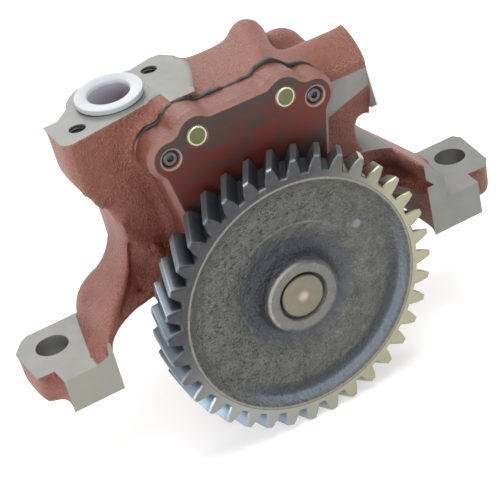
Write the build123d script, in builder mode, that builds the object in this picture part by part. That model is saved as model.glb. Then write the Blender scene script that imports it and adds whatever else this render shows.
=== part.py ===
"""Gear driven engine oil pump with two feet, an outlet flange and an inlet tube."""
from build123d import *
from math import atan, cos, degrees, pi, radians, sin, sqrt, tan
import os

os.makedirs("parts", exist_ok=True)

# Frame: origin on the foot plane, midway between the two foot holes, +Z out of the foot faces.
# The gear turns about a line along Y and its face looks to -Y.

# ---- driving dimensions, mm ----
foot_hole_spacing = 189.0
foot_hole_dia = 13.5
foot_thickness = 15.0
foot_front = -26.0
foot_back = 14.0

shaft_x = -2.0
shaft_z = -4.0
shaft_dia = 16.0

gear_front = -39.0
gear_width = 15.0
gear_teeth = 36
gear_module = 2.75
helix_angle = 28.0

pump_teeth = 12
pump_module = 3.5
pump_addendum = 3.0
pump_dedendum = 3.4
pump_length = 38.0
pump_pressure_angle = 25.0

cover_front = -20.0
cover_thickness = 13.0
gasket_thickness = 1.2
rear_wall = 14.0

bolt_dia = 8.0
dowel_dia = 6.0
axle_dia = 14.0
bushing_wall = 2.0

flange_bolt_spacing = 46.5
flange_turn = 29.5
outlet_bore_dia = 20.0
outlet_x = -37.3
outlet_y = 15.5
flange_top = 80.0

inlet_bore_dia = 25.0
inlet_outer_dia = 40.0
inlet_y = 11.0
inlet_z = 54.0
inlet_end = 60.0

# ---- clearances, mm ----
running_clearance = 0.05
tip_clearance = 0.3
end_clearance = 0.1
backlash = 0.12
bolt_clearance = 0.3
plug_clearance = 0.1

# ---- values that follow ----
foot_x = foot_hole_spacing / 2
joint_y = cover_front + cover_thickness
body_front = joint_y + gasket_thickness
chamber_end = body_front + pump_length + 2 * end_clearance
body_back = chamber_end + rear_wall
centre_distance = pump_module * pump_teeth
pump_tip = centre_distance / 2 + pump_addendum
chamber_radius = pump_tip + tip_clearance
driven_z = shaft_z + centre_distance
wall_radius = chamber_radius + 9.0


def across(y):
    """Plane across the drive shaft at depth y, its x along X and its y along Z."""
    return Plane(origin=(shaft_x, y, shaft_z), x_dir=(1, 0, 0), z_dir=(0, -1, 0))


half_section = Plane(origin=(shaft_x, 0, shaft_z), x_dir=(1, 0, 0), z_dir=(0, 0, 1))
driven_section = Plane(origin=(shaft_x, 0, driven_z), x_dir=(1, 0, 0), z_dir=(0, 0, 1))
shaft_line = Axis((shaft_x, 0, shaft_z), (0, 1, 0))
driven_line = Axis((shaft_x, 0, driven_z), (0, 1, 0))


def involute_angle(radius, base):
    """Polar angle reached by an involute of the base circle at a radius."""
    pressure = sqrt(max((radius / base) ** 2 - 1, 0))
    return pressure - atan(pressure)


def tooth_outline(teeth, pitch_radius, tip, root, pressure_deg, start_deg):
    """Closed outline of a gear with involute flanks, first tooth centred at start_deg."""
    base = pitch_radius * cos(radians(pressure_deg))
    half_tooth = pi / (2 * teeth) - backlash / (2 * pitch_radius)
    half_base = half_tooth + involute_angle(pitch_radius, base)
    low = max(base, root)
    flank_radii = [low, (low + tip) / 2, tip]

    def point(radius, angle):
        return (radius * cos(angle), radius * sin(angle))

    for tooth in range(teeth):
        middle = radians(start_deg) + 2 * pi * tooth / teeth
        rise = [point(r, middle - half_base + involute_angle(r, base)) for r in flank_radii]
        fall = [point(r, middle + half_base - involute_angle(r, base)) for r in reversed(flank_radii)]
        foot_half = half_base - involute_angle(low, base)
        leaving = point(min(root, low), middle + foot_half)
        arriving = point(min(root, low), middle + 2 * pi / teeth - foot_half)
        if root < base:
            Line(point(root, middle - half_base), rise[0])
            Line(fall[-1], leaving)
        Polyline(*rise, *fall)
        Line(leaving, arriving)


# ---- drive gear, helical, with a dished web and a raised hub ----
gear_transverse = gear_module / cos(radians(helix_angle))
gear_pitch = gear_transverse * gear_teeth / 2
gear_tip = gear_pitch + gear_module
gear_root = gear_pitch - 1.25 * gear_module
gear_pressure = degrees(atan(tan(radians(20)) / cos(radians(helix_angle))))
gear_twist = degrees(tan(radians(helix_angle)) * gear_width / gear_pitch)
gear_back = gear_front + gear_width
tooth_chamfer = 1.2
first_tooth = 2.3
dish_radius = gear_root - 3.2
hub_radius = 14.7
dish_depth = 5.0
rear_dish_depth = 3.0

with BuildPart() as drive_gear:
    with BuildSketch(across(gear_front)):
        with BuildLine():
            tooth_outline(gear_teeth, gear_pitch, gear_tip, gear_root, gear_pressure, first_tooth)
        make_face()
    with BuildSketch(across(gear_back)):
        with BuildLine():
            tooth_outline(
                gear_teeth, gear_pitch, gear_tip, gear_root, gear_pressure, first_tooth - gear_twist
            )
        make_face()
    loft(ruled=True)
    with BuildSketch(half_section):
        with BuildLine():
            Polyline(
                (shaft_dia / 2 + running_clearance, gear_front + 2.2),
                (shaft_dia / 2 + 1.5, gear_front + 2.2),
                (shaft_dia / 2 + 1.9, gear_front),
                (hub_radius, gear_front),
            )
            Polyline(
                (hub_radius, gear_front),
                (hub_radius + 1.2, gear_front + 0.6),
                (hub_radius + 3.4, gear_front + dish_depth - 1.4),
                (hub_radius + 7.5, gear_front + dish_depth),
                (dish_radius - 10, gear_front + dish_depth - 0.8),
                (dish_radius - 3.0, gear_front + dish_depth - 2.0),
                (dish_radius, gear_front),
            )
            Polyline(
                (dish_radius, gear_front),
                (gear_tip + 0.5 - tooth_chamfer, gear_front),
                (gear_tip + 0.5, gear_front + tooth_chamfer),
                (gear_tip + 0.5, gear_back - tooth_chamfer),
                (gear_tip + 0.5 - tooth_chamfer, gear_back),
                (dish_radius, gear_back),
                (dish_radius - 3.6, gear_back - rear_dish_depth + 0.8),
                (hub_radius + 5.5, gear_back - rear_dish_depth),
                (hub_radius, gear_back),
                (shaft_dia / 2 + running_clearance, gear_back),
                (shaft_dia / 2 + running_clearance, gear_front + 2.2),
            )
        make_face()
    revolve(axis=shaft_line, mode=Mode.INTERSECT)
    with Locations((shaft_x, gear_back - 6.5, shaft_z + shaft_dia / 2)):
        Box(5.0, 13.0, 5.0, mode=Mode.SUBTRACT)
drive_gear.part.label = "drive_gear"
export_step(drive_gear.part, "parts/drive_gear.step")


def joint_outline(grow=0.0):
    """Lobed outline shared by the cover, the gasket and the core of the body."""
    with Locations((0, 0), (0, centre_distance)):
        Circle(wall_radius - 0.3 + grow)
    with Locations((0, centre_distance / 2)):
        Rectangle(2 * (wall_radius - 0.3 + grow), centre_distance)
        Rectangle(2 * bolt_side, 2 * (bolt_rise + 7.2 + grow))
    with Locations(*bolt_places):
        Circle(bolt_boss + grow)
    with Locations(*dowel_places):
        Circle(dowel_boss + grow)
    Polygon(
        (-dowel_side - 6.0 - grow, dowel_rise - 3),
        (-wall_radius + 0.4 - grow, centre_distance),
        (wall_radius - 0.4 + grow, centre_distance),
        (dowel_side + 6.0 + grow, dowel_rise - 3),
        align=None,
    )
    offset(amount=outline_blend, kind=Kind.ARC)
    offset(amount=-outline_blend, kind=Kind.ARC)


# ---- places of the cover bolts and dowels, seen from the front, shaft at the centre ----
bolt_side = 19.0
bolt_rise = centre_distance / 2 + 31.8
side_bolt = wall_radius + 0.8
bolt_boss = 9.8
outline_blend = 4.0
dowel_boss = 8.8
dowel_side = 31.2
dowel_rise = centre_distance + 27.0
bolt_places = [
    (bolt_side, centre_distance / 2 + bolt_rise),
    (-bolt_side, centre_distance / 2 + bolt_rise),
    (bolt_side, centre_distance / 2 - bolt_rise),
    (-bolt_side, centre_distance / 2 - bolt_rise),
    (side_bolt, -4.0),
    (-side_bolt, -4.0),
]
head_recess = 9.9
far_seat = body_back - head_recess
bolt_seats = [20.6, 31.0, far_seat, far_seat, far_seat, far_seat]
boss_ends = [20.6 + head_recess, 37.5, body_back, body_back, body_back, body_back]
head_bore = 7.05
dowel_places = [(dowel_side, dowel_rise), (-dowel_side, dowel_rise)]
shaft_bushing_radius = shaft_dia / 2 + bushing_wall
cover_pocket = 6.0

# ---- front cover, a lobed plate ----
with BuildPart() as front_cover:
    with BuildSketch(across(joint_y)):
        joint_outline()
    extrude(amount=cover_thickness)
    chamfer(front_cover.faces().sort_by(Axis.Y)[0].outer_wire().edges(), 2.0)
    with Locations(across(cover_front)):
        with Locations(*bolt_places):
            CounterSinkHole(bolt_dia / 2 + running_clearance, bolt_dia / 2 + 0.6, cover_thickness, 90)
        with Locations(*dowel_places):
            CounterSinkHole(dowel_dia / 2 + running_clearance, dowel_dia / 2 + 1.1, cover_thickness, 90)
        with Locations((0, 0)):
            Hole(shaft_bushing_radius + 0.02, cover_thickness)
    with Locations(across(joint_y)):
        with Locations((0, centre_distance)):
            Cylinder(
                axle_dia / 2 + running_clearance,
                9.0,
                align=(Align.CENTER, Align.CENTER, Align.MIN),
                mode=Mode.SUBTRACT,
            )
front_cover.part.label = "front_cover"
export_step(front_cover.part, "parts/front_cover.step")

# ---- gasket between the cover and the body ----
with BuildPart() as joint_gasket:
    with BuildSketch(across(body_front)):
        joint_outline(-0.2)
        with Locations((0, 0), (0, centre_distance)):
            Circle(chamber_radius, mode=Mode.SUBTRACT)
        with Locations(*bolt_places):
            Circle(bolt_dia / 2 + bolt_clearance, mode=Mode.SUBTRACT)
        with Locations(*dowel_places):
            Circle(dowel_dia / 2 + bolt_clearance, mode=Mode.SUBTRACT)
    extrude(amount=gasket_thickness)
joint_gasket.part.label = "joint_gasket"
export_step(joint_gasket.part, "parts/joint_gasket.step")

# ---- left side of the casting: outlet column with its neck ----
neck_x = shaft_x - 55.0
block_left = outlet_x - 30.0
pad_rear = outlet_y + 22.8
joint_flange = 12.0
with BuildPart() as outlet_column:
    with BuildSketch(Plane.XZ.offset(-60)):
        with BuildLine():
            Polyline((shaft_x - 10, shaft_z + 16), (shaft_x - 10, flange_top), (block_left, flange_top))
            Line((block_left, flange_top), (block_left - 0.8, flange_top - 14))
            ThreePointArc(
                (block_left - 0.8, flange_top - 14),
                (block_left + 3.2, flange_top - 24),
                (neck_x - 2.5, flange_top - 31),
            )
            ThreePointArc(
                (neck_x - 2.5, flange_top - 31),
                (neck_x + 1.5, flange_top - 40),
                (neck_x + 3.0, flange_top - 52),
            )
            Line((neck_x + 3.0, flange_top - 52), (neck_x + 3.0, shaft_z + 16))
            Line((neck_x + 3.0, shaft_z + 16), (shaft_x - 10, shaft_z + 16))
        make_face()
    extrude(amount=120)
    with BuildSketch(Plane.XY):
        with BuildLine():
            Polyline(
                (shaft_x - 10, body_front + 13),
                (outlet_x + 13.2, outlet_y - 9.6),
                (outlet_x + 7.4, outlet_y - 15.0),
                (outlet_x - 2.7, outlet_y - 17.4),
                (outlet_x - 13.7, outlet_y - 19.4),
                (outlet_x - 24.7, outlet_y - 21.5),
            )
            ThreePointArc(
                (outlet_x - 24.7, outlet_y - 21.5),
                (outlet_x - 28.5, outlet_y - 21.0),
                (block_left, outlet_y - 17),
            )
            Polyline(
                (block_left, outlet_y - 17),
                (block_left, outlet_y + 0.5),
                (outlet_x - 24.0, outlet_y + 0.7),
                (outlet_x - 17.5, outlet_y + 7.5),
            )
            ThreePointArc(
                (outlet_x - 17.5, outlet_y + 7.5),
                (outlet_x - 11.5, outlet_y + 17.5),
                (outlet_x, pad_rear),
            )
            Polyline(
                (outlet_x, pad_rear),
                (shaft_x - 20, outlet_y + 18),
                (shaft_x - 10, outlet_y + 19),
                (shaft_x - 10, body_front + 13),
            )
        make_face()
    extrude(amount=flange_top + 5, mode=Mode.INTERSECT)

# ---- left arm: a curved bracket with a pocket in its front ----
left_inner = -foot_x + 16.5
arm_rib = 5.0
with BuildPart() as left_arm:
    with BuildSketch(Plane.XZ.offset(-60)):
        with BuildLine():
            Polyline((left_inner, -4), (left_inner, 2.8), (left_inner + 7, 5.2), (shaft_x - 60, 5.2))
            ThreePointArc((shaft_x - 60, 5.2), (shaft_x - 48, 3.5), (shaft_x - 34, 1.0))
            Polyline((shaft_x - 34, 1.0), (shaft_x - 20, 1.0), (shaft_x - 20, 12.0), (shaft_x - 33, 16.0))
            ThreePointArc((shaft_x - 33, 16.0), (shaft_x - 46, 30.5), (neck_x + 0.2, 45.0))
            ThreePointArc((neck_x + 0.2, 45.0), (neck_x - 1.8, 28.0), (neck_x - 11.0, 18.2))
            ThreePointArc((neck_x - 11.0, 18.2), (left_inner + 0.5, 10.5), (left_inner - 2.0, 2.0))
            Polyline((left_inner - 2.0, 2.0), (left_inner - 9.5, -0.5), (left_inner - 9.5, -4), (left_inner, -4))
        make_face()
    extrude(amount=120)
    with BuildSketch(Plane.XY.offset(-20)):
        with BuildLine():
            Polyline((shaft_x - 20, 30), (shaft_x - 20, body_front + 0.5), (shaft_x - 40, body_front + 0.5))
            ThreePointArc(
                (shaft_x - 40, body_front + 0.5),
                (shaft_x - 58, body_front - 7.5),
                (left_inner, foot_front),
            )
            Polyline((left_inner, foot_front), (left_inner - 9.0, foot_front), (left_inner - 1.2, foot_back - 1.5))
            Line((left_inner - 1.2, foot_back - 1.5), (neck_x - 3, foot_back - 3))
            ThreePointArc((neck_x - 3, foot_back - 3), (shaft_x - 42, foot_back + 2), (shaft_x - 20, 30))
        make_face()
    extrude(amount=100, mode=Mode.INTERSECT)

with BuildPart() as left_pocket:
    with BuildSketch(Plane.XZ.offset(-60)):
        with BuildLine():
            Line((left_inner + 8, 5.2 + arm_rib), (shaft_x - 38, 4.0 + arm_rib))
            ThreePointArc(
                (shaft_x - 38, 4.0 + arm_rib),
                (shaft_x - 47, 22.0),
                (neck_x + 1.5, 37.0),
            )
            ThreePointArc(
                (neck_x + 1.5, 37.0),
                (neck_x + 0.5, 27.0),
                (left_inner + 8, 5.2 + arm_rib),
            )
        make_face()
    extrude(amount=120)
    with BuildSketch(Plane.XY):
        with BuildLine():
            Line((shaft_x - 34, body_front - 30), (shaft_x - 34, body_front + 4.5))
            ThreePointArc(
                (shaft_x - 34, body_front + 4.5),
                (shaft_x - 56, body_front - 1.0),
                (left_inner + 2, foot_front + 9),
            )
            Polyline(
                (left_inner + 2, foot_front + 9),
                (left_inner + 2, body_front - 30),
                (shaft_x - 34, body_front - 30),
            )
        make_face()
    extrude(amount=80, mode=Mode.INTERSECT)

# ---- right side of the casting: wall under the inlet tube and the right arm ----
right_inner = foot_x - 27.5
wall_right = shaft_x + 54.7
pad_height = 24.0
with BuildPart() as right_arm:
    with BuildSketch(Plane.XZ.offset(-60)):
        with BuildLine():
            Polyline((shaft_x + 20, 1.0), (shaft_x + 20, pad_height), (wall_right + 9, pad_height))
            ThreePointArc((wall_right + 9, pad_height), (wall_right + 19, 14.5), (foot_x - 9.0, 1.0))
            Polyline((foot_x - 9.0, 1.0), (foot_x - 6.0, -4), (right_inner, -4), (right_inner, 2.4))
            ThreePointArc((right_inner, 2.4), (right_inner - 10, 3.8), (shaft_x + 36, 1.0))
            Line((shaft_x + 36, 1.0), (shaft_x + 20, 1.0))
        make_face()
    extrude(amount=120)
    with BuildSketch(Plane.XY.offset(-20)):
        with BuildLine():
            Polyline((shaft_x + 20, 30), (shaft_x + 20, body_front + 0.6), (shaft_x + 50, body_front + 0.6))
            ThreePointArc(
                (shaft_x + 50, body_front + 0.6),
                (right_inner - 6.5, body_front - 5),
                (right_inner, foot_front),
            )
            Polyline((right_inner, foot_front), (right_inner + 8.5, foot_front), (foot_x - 5.2, foot_back))
            ThreePointArc((foot_x - 5.2, foot_back), (shaft_x + 65, foot_back + 6), (shaft_x + 20, 30))
        make_face()
    extrude(amount=100, mode=Mode.INTERSECT)

with BuildPart() as right_pocket:
    with BuildSketch(Plane.XZ.offset(-60)):
        with BuildLine():
            Polyline((shaft_x + 42, 3.2 + arm_rib), (shaft_x + 42, pad_height - 6), (wall_right + 4, pad_height - 6))
            ThreePointArc(
                (wall_right + 4, pad_height - 6),
                (wall_right + 13.5, 12.5),
                (wall_right + 17.5, 3.2 + arm_rib),
            )
            Line((wall_right + 17.5, 3.2 + arm_rib), (shaft_x + 42, 3.2 + arm_rib))
        make_face()
    extrude(amount=120)
    with BuildSketch(Plane.XY):
        with BuildLine():
            Line((shaft_x + 42, body_front - 30), (shaft_x + 42, body_front + 5))
            ThreePointArc(
                (shaft_x + 42, body_front + 5),
                (wall_right + 7, body_front + 2),
                (wall_right + 17.5, foot_front + 11),
            )
            Polyline(
                (wall_right + 17.5, foot_front + 11),
                (wall_right + 17.5, body_front - 30),
                (shaft_x + 42, body_front - 30),
            )
        make_face()
    extrude(amount=80, mode=Mode.INTERSECT)

# ---- pump body, one casting with machined faces and bores ----
flange_dx = flange_bolt_spacing / 2 * cos(radians(flange_turn))
flange_dy = flange_bolt_spacing / 2 * sin(radians(flange_turn))
flange_places = [
    (outlet_x - flange_dx, outlet_y - flange_dy),
    (outlet_x + flange_dx, outlet_y + flange_dy),
]
foot_places = [(-foot_x, 0), (foot_x, 0)]
port_z = shaft_z + centre_distance / 2
column_x = shaft_x - 42.0
core_radius = wall_radius - 1.3
valve_x = shaft_x + 47.0
valve_boss = 13.5
valve_y = body_back - valve_boss
valve_low_z = shaft_z - 34.0
gallery_y = chamber_end + 7.0
rear_boss_end = body_back + 5.0
flange_thread_radius = 3.4
flange_thread_depth = 5.4
rim_recess = 1.4
rim_radius = 13.6
valve_radius = 7.0
valve_thread_radius = 9.0
valve_thread_length = 11.0
gallery_dia = 6.0
gallery_plug_radius = 4.5
gallery_plug_length = 7.0
gallery_end_x = shaft_x - core_radius - 0.4
cup_radius = shaft_bushing_radius + 2.5
lug_x = shaft_x + 28.5
lug_y = 27.0
lug_radius = 8.4
lug_z = flange_top - 3.6
tube_front = inlet_outer_dia / 2 - 1.3
tube_section = Plane(origin=(inlet_end, inlet_y, inlet_z), x_dir=(0, 1, 0), z_dir=(1, 0, 0))


def inlet_outline(lean):
    """Outline of the inlet tube about its bore: round front, straight chin, flat back."""
    ThreePointArc((-2.0, 20.2), (-13.0, 14.4), (-tube_front, 4.0))
    Polyline((-tube_front, 4.0), (-tube_front + lean, -8.5), (-12.0, -17.0), (8.0, -18.5))
    ThreePointArc((8.0, -18.5), (16.5, -9.5), (19.0, 3.5))
    Line((19.0, 3.5), (-2.0, 20.2))


with BuildPart() as pump_body:
    # joint flange with the outline of the cover, and the core round the chambers
    with BuildSketch(across(body_front)):
        joint_outline()
    extrude(amount=-joint_flange)
    with BuildSketch(across(body_front)):
        with Locations((0, 0), (0, centre_distance)):
            Circle(core_radius)
        with Locations((0, centre_distance / 2)):
            Rectangle(2 * core_radius, centre_distance)
    extrude(amount=-(body_back - body_front))
    for (x, z), end in zip(bolt_places, boss_ends):
        with BuildSketch(across(body_front)):
            with Locations((x, z)):
                Circle(bolt_boss - 0.5)
        extrude(amount=-(end - body_front))
    add(outlet_column.part)
    add(left_arm.part)
    add(right_arm.part)
    # top of the casting between the outlet flange and the lug
    with BuildSketch(Plane.YZ.offset(shaft_x - 12)):
        Polygon(
            (body_front + 2, flange_top - 12),
            (body_front + 2, flange_top - 3.6),
            (body_front + 8, flange_top - 1.8),
            (boss_ends[0], flange_top - 1.6),
            (boss_ends[0], flange_top - 12),
            align=None,
        )
    extrude(amount=30)
    # machined pad of the outlet flange, running to the joint face
    with BuildSketch(Plane.XY.offset(flange_top - 9)):
        Polygon(
            (outlet_x + 7.4, outlet_y - 15.0),
            (outlet_x + 13.2, outlet_y - 9.6),
            (shaft_x - 20.5, body_front + 11),
            (shaft_x - 21, body_front),
            (shaft_x - 10.5, body_front),
            (shaft_x - 8.5, body_front + 6),
            (shaft_x - 4.5, body_front + 16.5),
            (shaft_x - 1.5, body_front + 26),
            (shaft_x - 2.3, body_front + 36),
            (shaft_x - 6, body_front + 42),
            (shaft_x - 10, body_front + 43),
            (shaft_x - 20.5, outlet_y + 18.2),
            (outlet_x, outlet_y),
            align=None,
        )
    extrude(amount=9)
    # ridge from the joint flange to the lug behind, and the shoulder beside it
    with BuildSketch(across(body_front + 3)):
        with Locations((bolt_side + 1, bolt_rise + centre_distance / 2 + 0.6)):
            Circle(lug_radius)
    with BuildSketch(across(lug_y)):
        with Locations((lug_x - shaft_x, lug_z - shaft_z)):
            Circle(lug_radius)
    loft()
    with Locations((lug_x, lug_y, lug_z)):
        Sphere(lug_radius)
    with BuildSketch(Plane.XY.offset(inlet_z - 24)):
        with Locations((lug_x, lug_y), (lug_x + 14, lug_y + 1)):
            Circle(lug_radius)
    extrude(amount=lug_z - inlet_z + 24 - 10)
    with Locations((lug_x + 14, lug_y + 1, lug_z - 13)):
        Sphere(lug_radius + 2.6)
    with BuildSketch(Plane.XY.offset(lug_z - 14)):
        with Locations((lug_x, lug_y)):
            Circle(lug_radius)
    extrude(amount=14)
    # inlet tube with the wall below it
    with BuildSketch(Plane(origin=(shaft_x + 20, inlet_y, inlet_z), x_dir=(0, 1, 0), z_dir=(1, 0, 0))):
        with BuildLine():
            inlet_outline(0.6)
        make_face()
    with BuildSketch(tube_section):
        with BuildLine():
            inlet_outline(3.4)
        make_face()
    loft(ruled=True)
    with Locations(((shaft_x + 20 + wall_right) / 2, inlet_y + 1, (inlet_z + 1) / 2 - 5)):
        Box(wall_right - shaft_x - 20, 2 * (inlet_y - body_front) - 2, inlet_z - 9)
    # relief valve housing at the rear, joined to the core
    with BuildSketch(Plane.XY.offset(valve_low_z)):
        with Locations((valve_x, valve_y)):
            Circle(valve_boss)
    extrude(amount=port_z + 12 - valve_low_z)
    with Locations((shaft_x + 36, gallery_y + 1, port_z - 8)):
        Box(20, 2 * (body_back - gallery_y - 1), 34)
    # boss of the rear bushing
    with BuildSketch(across(body_back)):
        Circle(cup_radius + 4.5)
    extrude(amount=-(rear_boss_end - body_back))
    # feet
    with BuildSketch(Plane.XY.offset(-foot_thickness)):
        Polygon(
            (left_inner, foot_back),
            (left_inner, foot_front),
            (-foot_x - 4.8, foot_front),
            (-foot_x - 5.4, foot_front + 9),
            (-foot_x - 12.5, foot_front + 9.6),
            (-foot_x - 14, foot_back - 9),
            (-foot_x - 9, foot_back - 2),
            (-foot_x - 6, foot_back),
            align=None,
        )
        Polygon(
            (right_inner, foot_back),
            (right_inner, foot_front),
            (foot_x - 3.7, foot_front),
            (foot_x - 3.0, foot_front + 8.5),
            (foot_x + 5.5, foot_front + 8.0),
            (foot_x + 9.8, foot_front + 12.5),
            (foot_x + 13, foot_back - 4),
            (foot_x + 11, foot_back),
            align=None,
        )
    extrude(amount=foot_thickness)
    add(left_pocket.part, mode=Mode.SUBTRACT)
    add(right_pocket.part, mode=Mode.SUBTRACT)
    # seats of the bolt heads
    for (x, z), seat in zip(bolt_places, bolt_seats):
        with BuildSketch(across(seat)):
            with Locations((x, z)):
                Circle(head_bore)
        extrude(amount=-(rear_boss_end + 20 - seat), mode=Mode.SUBTRACT)
    # planes milled after casting: flange top and the joint plane beside the cover
    with BuildSketch(Plane.XY.offset(flange_top)):
        Polygon(
            (block_left - 5, body_front - 1),
            (shaft_x - 8, body_front - 1),
            (shaft_x - 1, body_front + 46),
            (block_left - 5, body_front + 46),
            align=None,
        )
    extrude(amount=20, mode=Mode.SUBTRACT)
    with Locations((shaft_x + 42, body_front - 15, inlet_z - 2)):
        Box(66, 30, 48, mode=Mode.SUBTRACT)
    # foot holes
    with Locations(*[(x, y, -foot_thickness) for x, y in foot_places]):
        Cylinder(
            foot_hole_dia / 2,
            foot_thickness + 1,
            align=(Align.CENTER, Align.CENTER, Align.MIN),
            mode=Mode.SUBTRACT,
        )
    # pump chambers, open at the joint
    with BuildSketch(across(body_front)):
        with Locations((0, 0), (0, centre_distance)):
            Circle(chamber_radius)
    extrude(amount=-(chamber_end - body_front), mode=Mode.SUBTRACT)
    # inlet bore and the suction pocket beside the mesh
    with BuildSketch(tube_section):
        Circle(inlet_bore_dia / 2)
    extrude(amount=-(inlet_end - shaft_x - 26), mode=Mode.SUBTRACT)
    with Locations((shaft_x + 27, inlet_y, port_z + 12)):
        Box(26, 20, 40, mode=Mode.SUBTRACT)
    # outlet bore with the recess of its seal, the passage below it and the pressure pocket
    with Locations((outlet_x, outlet_y, flange_top)):
        Cylinder(
            outlet_bore_dia / 2,
            24,
            align=(Align.CENTER, Align.CENTER, Align.MAX),
            mode=Mode.SUBTRACT,
        )
        Cylinder(
            rim_radius + 0.3,
            rim_recess,
            align=(Align.CENTER, Align.CENTER, Align.MAX),
            mode=Mode.SUBTRACT,
        )
    with Locations((column_x, outlet_y, flange_top - 20)):
        Cylinder(
            8.0,
            flange_top - 20 - port_z + 8,
            align=(Align.CENTER, Align.CENTER, Align.MAX),
            mode=Mode.SUBTRACT,
        )
    with Locations((shaft_x - 27, outlet_y, port_z)):
        Box(30, 15, 15, mode=Mode.SUBTRACT)
    # threaded holes of the outlet flange
    with Locations(*[(x, y, flange_top) for x, y in flange_places]):
        Cylinder(
            flange_thread_radius,
            flange_thread_depth,
            align=(Align.CENTER, Align.CENTER, Align.MAX),
            mode=Mode.SUBTRACT,
        )
    # bolt holes, dowel holes, axle bore and bushing bore
    for (x, z), seat in zip(bolt_places, bolt_seats):
        with BuildSketch(across(body_front)):
            with Locations((x, z)):
                Circle(bolt_dia / 2 + bolt_clearance)
        extrude(amount=-(seat - body_front), mode=Mode.SUBTRACT)
    with BuildSketch(across(body_front)):
        with Locations(*dowel_places):
            Circle(dowel_dia / 2 + running_clearance)
    extrude(amount=-8.0, mode=Mode.SUBTRACT)
    with BuildSketch(across(chamber_end)):
        with Locations((0, centre_distance)):
            Circle(axle_dia / 2 + running_clearance)
    extrude(amount=-10.0, mode=Mode.SUBTRACT)
    with BuildSketch(across(chamber_end)):
        Circle(shaft_bushing_radius + running_clearance)
    extrude(amount=-(rear_boss_end - chamber_end), mode=Mode.SUBTRACT)
    with BuildSketch(across(rear_boss_end)):
        Circle(cup_radius + running_clearance)
    extrude(amount=4.0, mode=Mode.SUBTRACT)
    # relief valve: pressure hole, gallery, bore, thread and spill hole
    with BuildSketch(across(chamber_end)):
        with Locations((-17, centre_distance / 2)):
            Circle(gallery_dia / 2)
    extrude(amount=-(gallery_y - chamber_end), mode=Mode.SUBTRACT)
    with BuildSketch(Plane(origin=(valve_x, gallery_y, port_z), x_dir=(0, 1, 0), z_dir=(1, 0, 0))):
        Circle(gallery_dia / 2)
    extrude(amount=-(valve_x - gallery_end_x), mode=Mode.SUBTRACT)
    with BuildSketch(Plane(origin=(gallery_end_x - 3, gallery_y, port_z), x_dir=(0, 1, 0), z_dir=(1, 0, 0))):
        Circle(gallery_plug_radius + running_clearance)
    extrude(amount=gallery_plug_length + 3, mode=Mode.SUBTRACT)
    with BuildSketch(Plane.XY.offset(valve_low_z)):
        with Locations((valve_x, valve_y)):
            Circle(valve_radius + running_clearance)
    extrude(amount=port_z - 2 - valve_low_z, mode=Mode.SUBTRACT)
    with BuildSketch(Plane.XY.offset(valve_low_z)):
        with Locations((valve_x, valve_y)):
            Circle(4.5)
    extrude(amount=port_z + 3 - valve_low_z, mode=Mode.SUBTRACT)
    with BuildSketch(Plane.XY.offset(valve_low_z)):
        with Locations((valve_x, valve_y)):
            Circle(valve_thread_radius + running_clearance)
    extrude(amount=valve_thread_length, mode=Mode.SUBTRACT)
    with Locations((shaft_x + 43, (inlet_y + valve_y) / 2, port_z - 9)):
        Box(5, valve_y - inlet_y, 4, mode=Mode.SUBTRACT)
pump_body.part.label = "pump_body"
export_step(pump_body.part, "parts/pump_body.step")

# ---- drive shaft with its centre drilling and key slots ----
shaft_front = gear_front + 1.2
shaft_back = rear_boss_end - 5.5
key_width = 5.0
key_low = shaft_dia / 2 - 3.0
key_high = shaft_dia / 2 + 2.2
gear_key_length = 12.0
rotor_front = body_front + end_clearance
rotor_middle = rotor_front + pump_length / 2
rotor_key_length = 22.0
with BuildPart() as drive_shaft:
    with BuildSketch(half_section):
        Polygon(
            (0, shaft_front + 2.6),
            (2.2, shaft_front),
            (shaft_dia / 2 - 0.8, shaft_front),
            (shaft_dia / 2, shaft_front + 0.8),
            (shaft_dia / 2, shaft_back - 1),
            (shaft_dia / 2 - 1, shaft_back),
            (0, shaft_back),
            align=None,
        )
    revolve(axis=shaft_line)
    with Locations((shaft_x, gear_back - gear_key_length / 2, shaft_z + key_low + 5)):
        Box(key_width, gear_key_length, 10, mode=Mode.SUBTRACT)
    with Locations((shaft_x, rotor_middle, shaft_z + key_low + 5)):
        Box(key_width, rotor_key_length, 10, mode=Mode.SUBTRACT)
drive_shaft.part.label = "drive_shaft"
export_step(drive_shaft.part, "parts/drive_shaft.step")

# ---- keys ----
key_side = key_width - 0.04
with BuildPart() as drive_gear_key:
    with Locations((shaft_x, gear_back - gear_key_length / 2, shaft_z + (key_low + key_high) / 2)):
        Box(key_side, gear_key_length - 0.1, key_high - key_low)
    fillet(drive_gear_key.edges().filter_by(Axis.Z), 1.5)
drive_gear_key.part.label = "drive_gear_key"
export_step(drive_gear_key.part, "parts/drive_gear_key.step")

with BuildPart() as rotor_key:
    with Locations((shaft_x, rotor_middle, shaft_z + (key_low + key_high) / 2)):
        Box(key_side, rotor_key_length - 0.1, key_high - key_low)
    fillet(rotor_key.edges().filter_by(Axis.Z), 2.0)
rotor_key.part.label = "rotor_key"
export_step(rotor_key.part, "parts/rotor_key.step")

# ---- pumping gears ----
with BuildPart() as pumping_gear:
    with BuildSketch(across(rotor_front)):
        with BuildLine():
            tooth_outline(
                pump_teeth,
                centre_distance / 2,
                pump_tip,
                centre_distance / 2 - pump_dedendum,
                pump_pressure_angle,
                90.0,
            )
        make_face()
        Circle(shaft_dia / 2 + running_clearance, mode=Mode.SUBTRACT)
        with Locations((0, shaft_dia / 2)):
            Rectangle(key_width, 2 * (key_high - shaft_dia / 2) + 0.2, mode=Mode.SUBTRACT)
    extrude(amount=-pump_length)
pumping_gear.part.label = "pumping_gear"
export_step(pumping_gear.part, "parts/pumping_gear.step")

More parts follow.
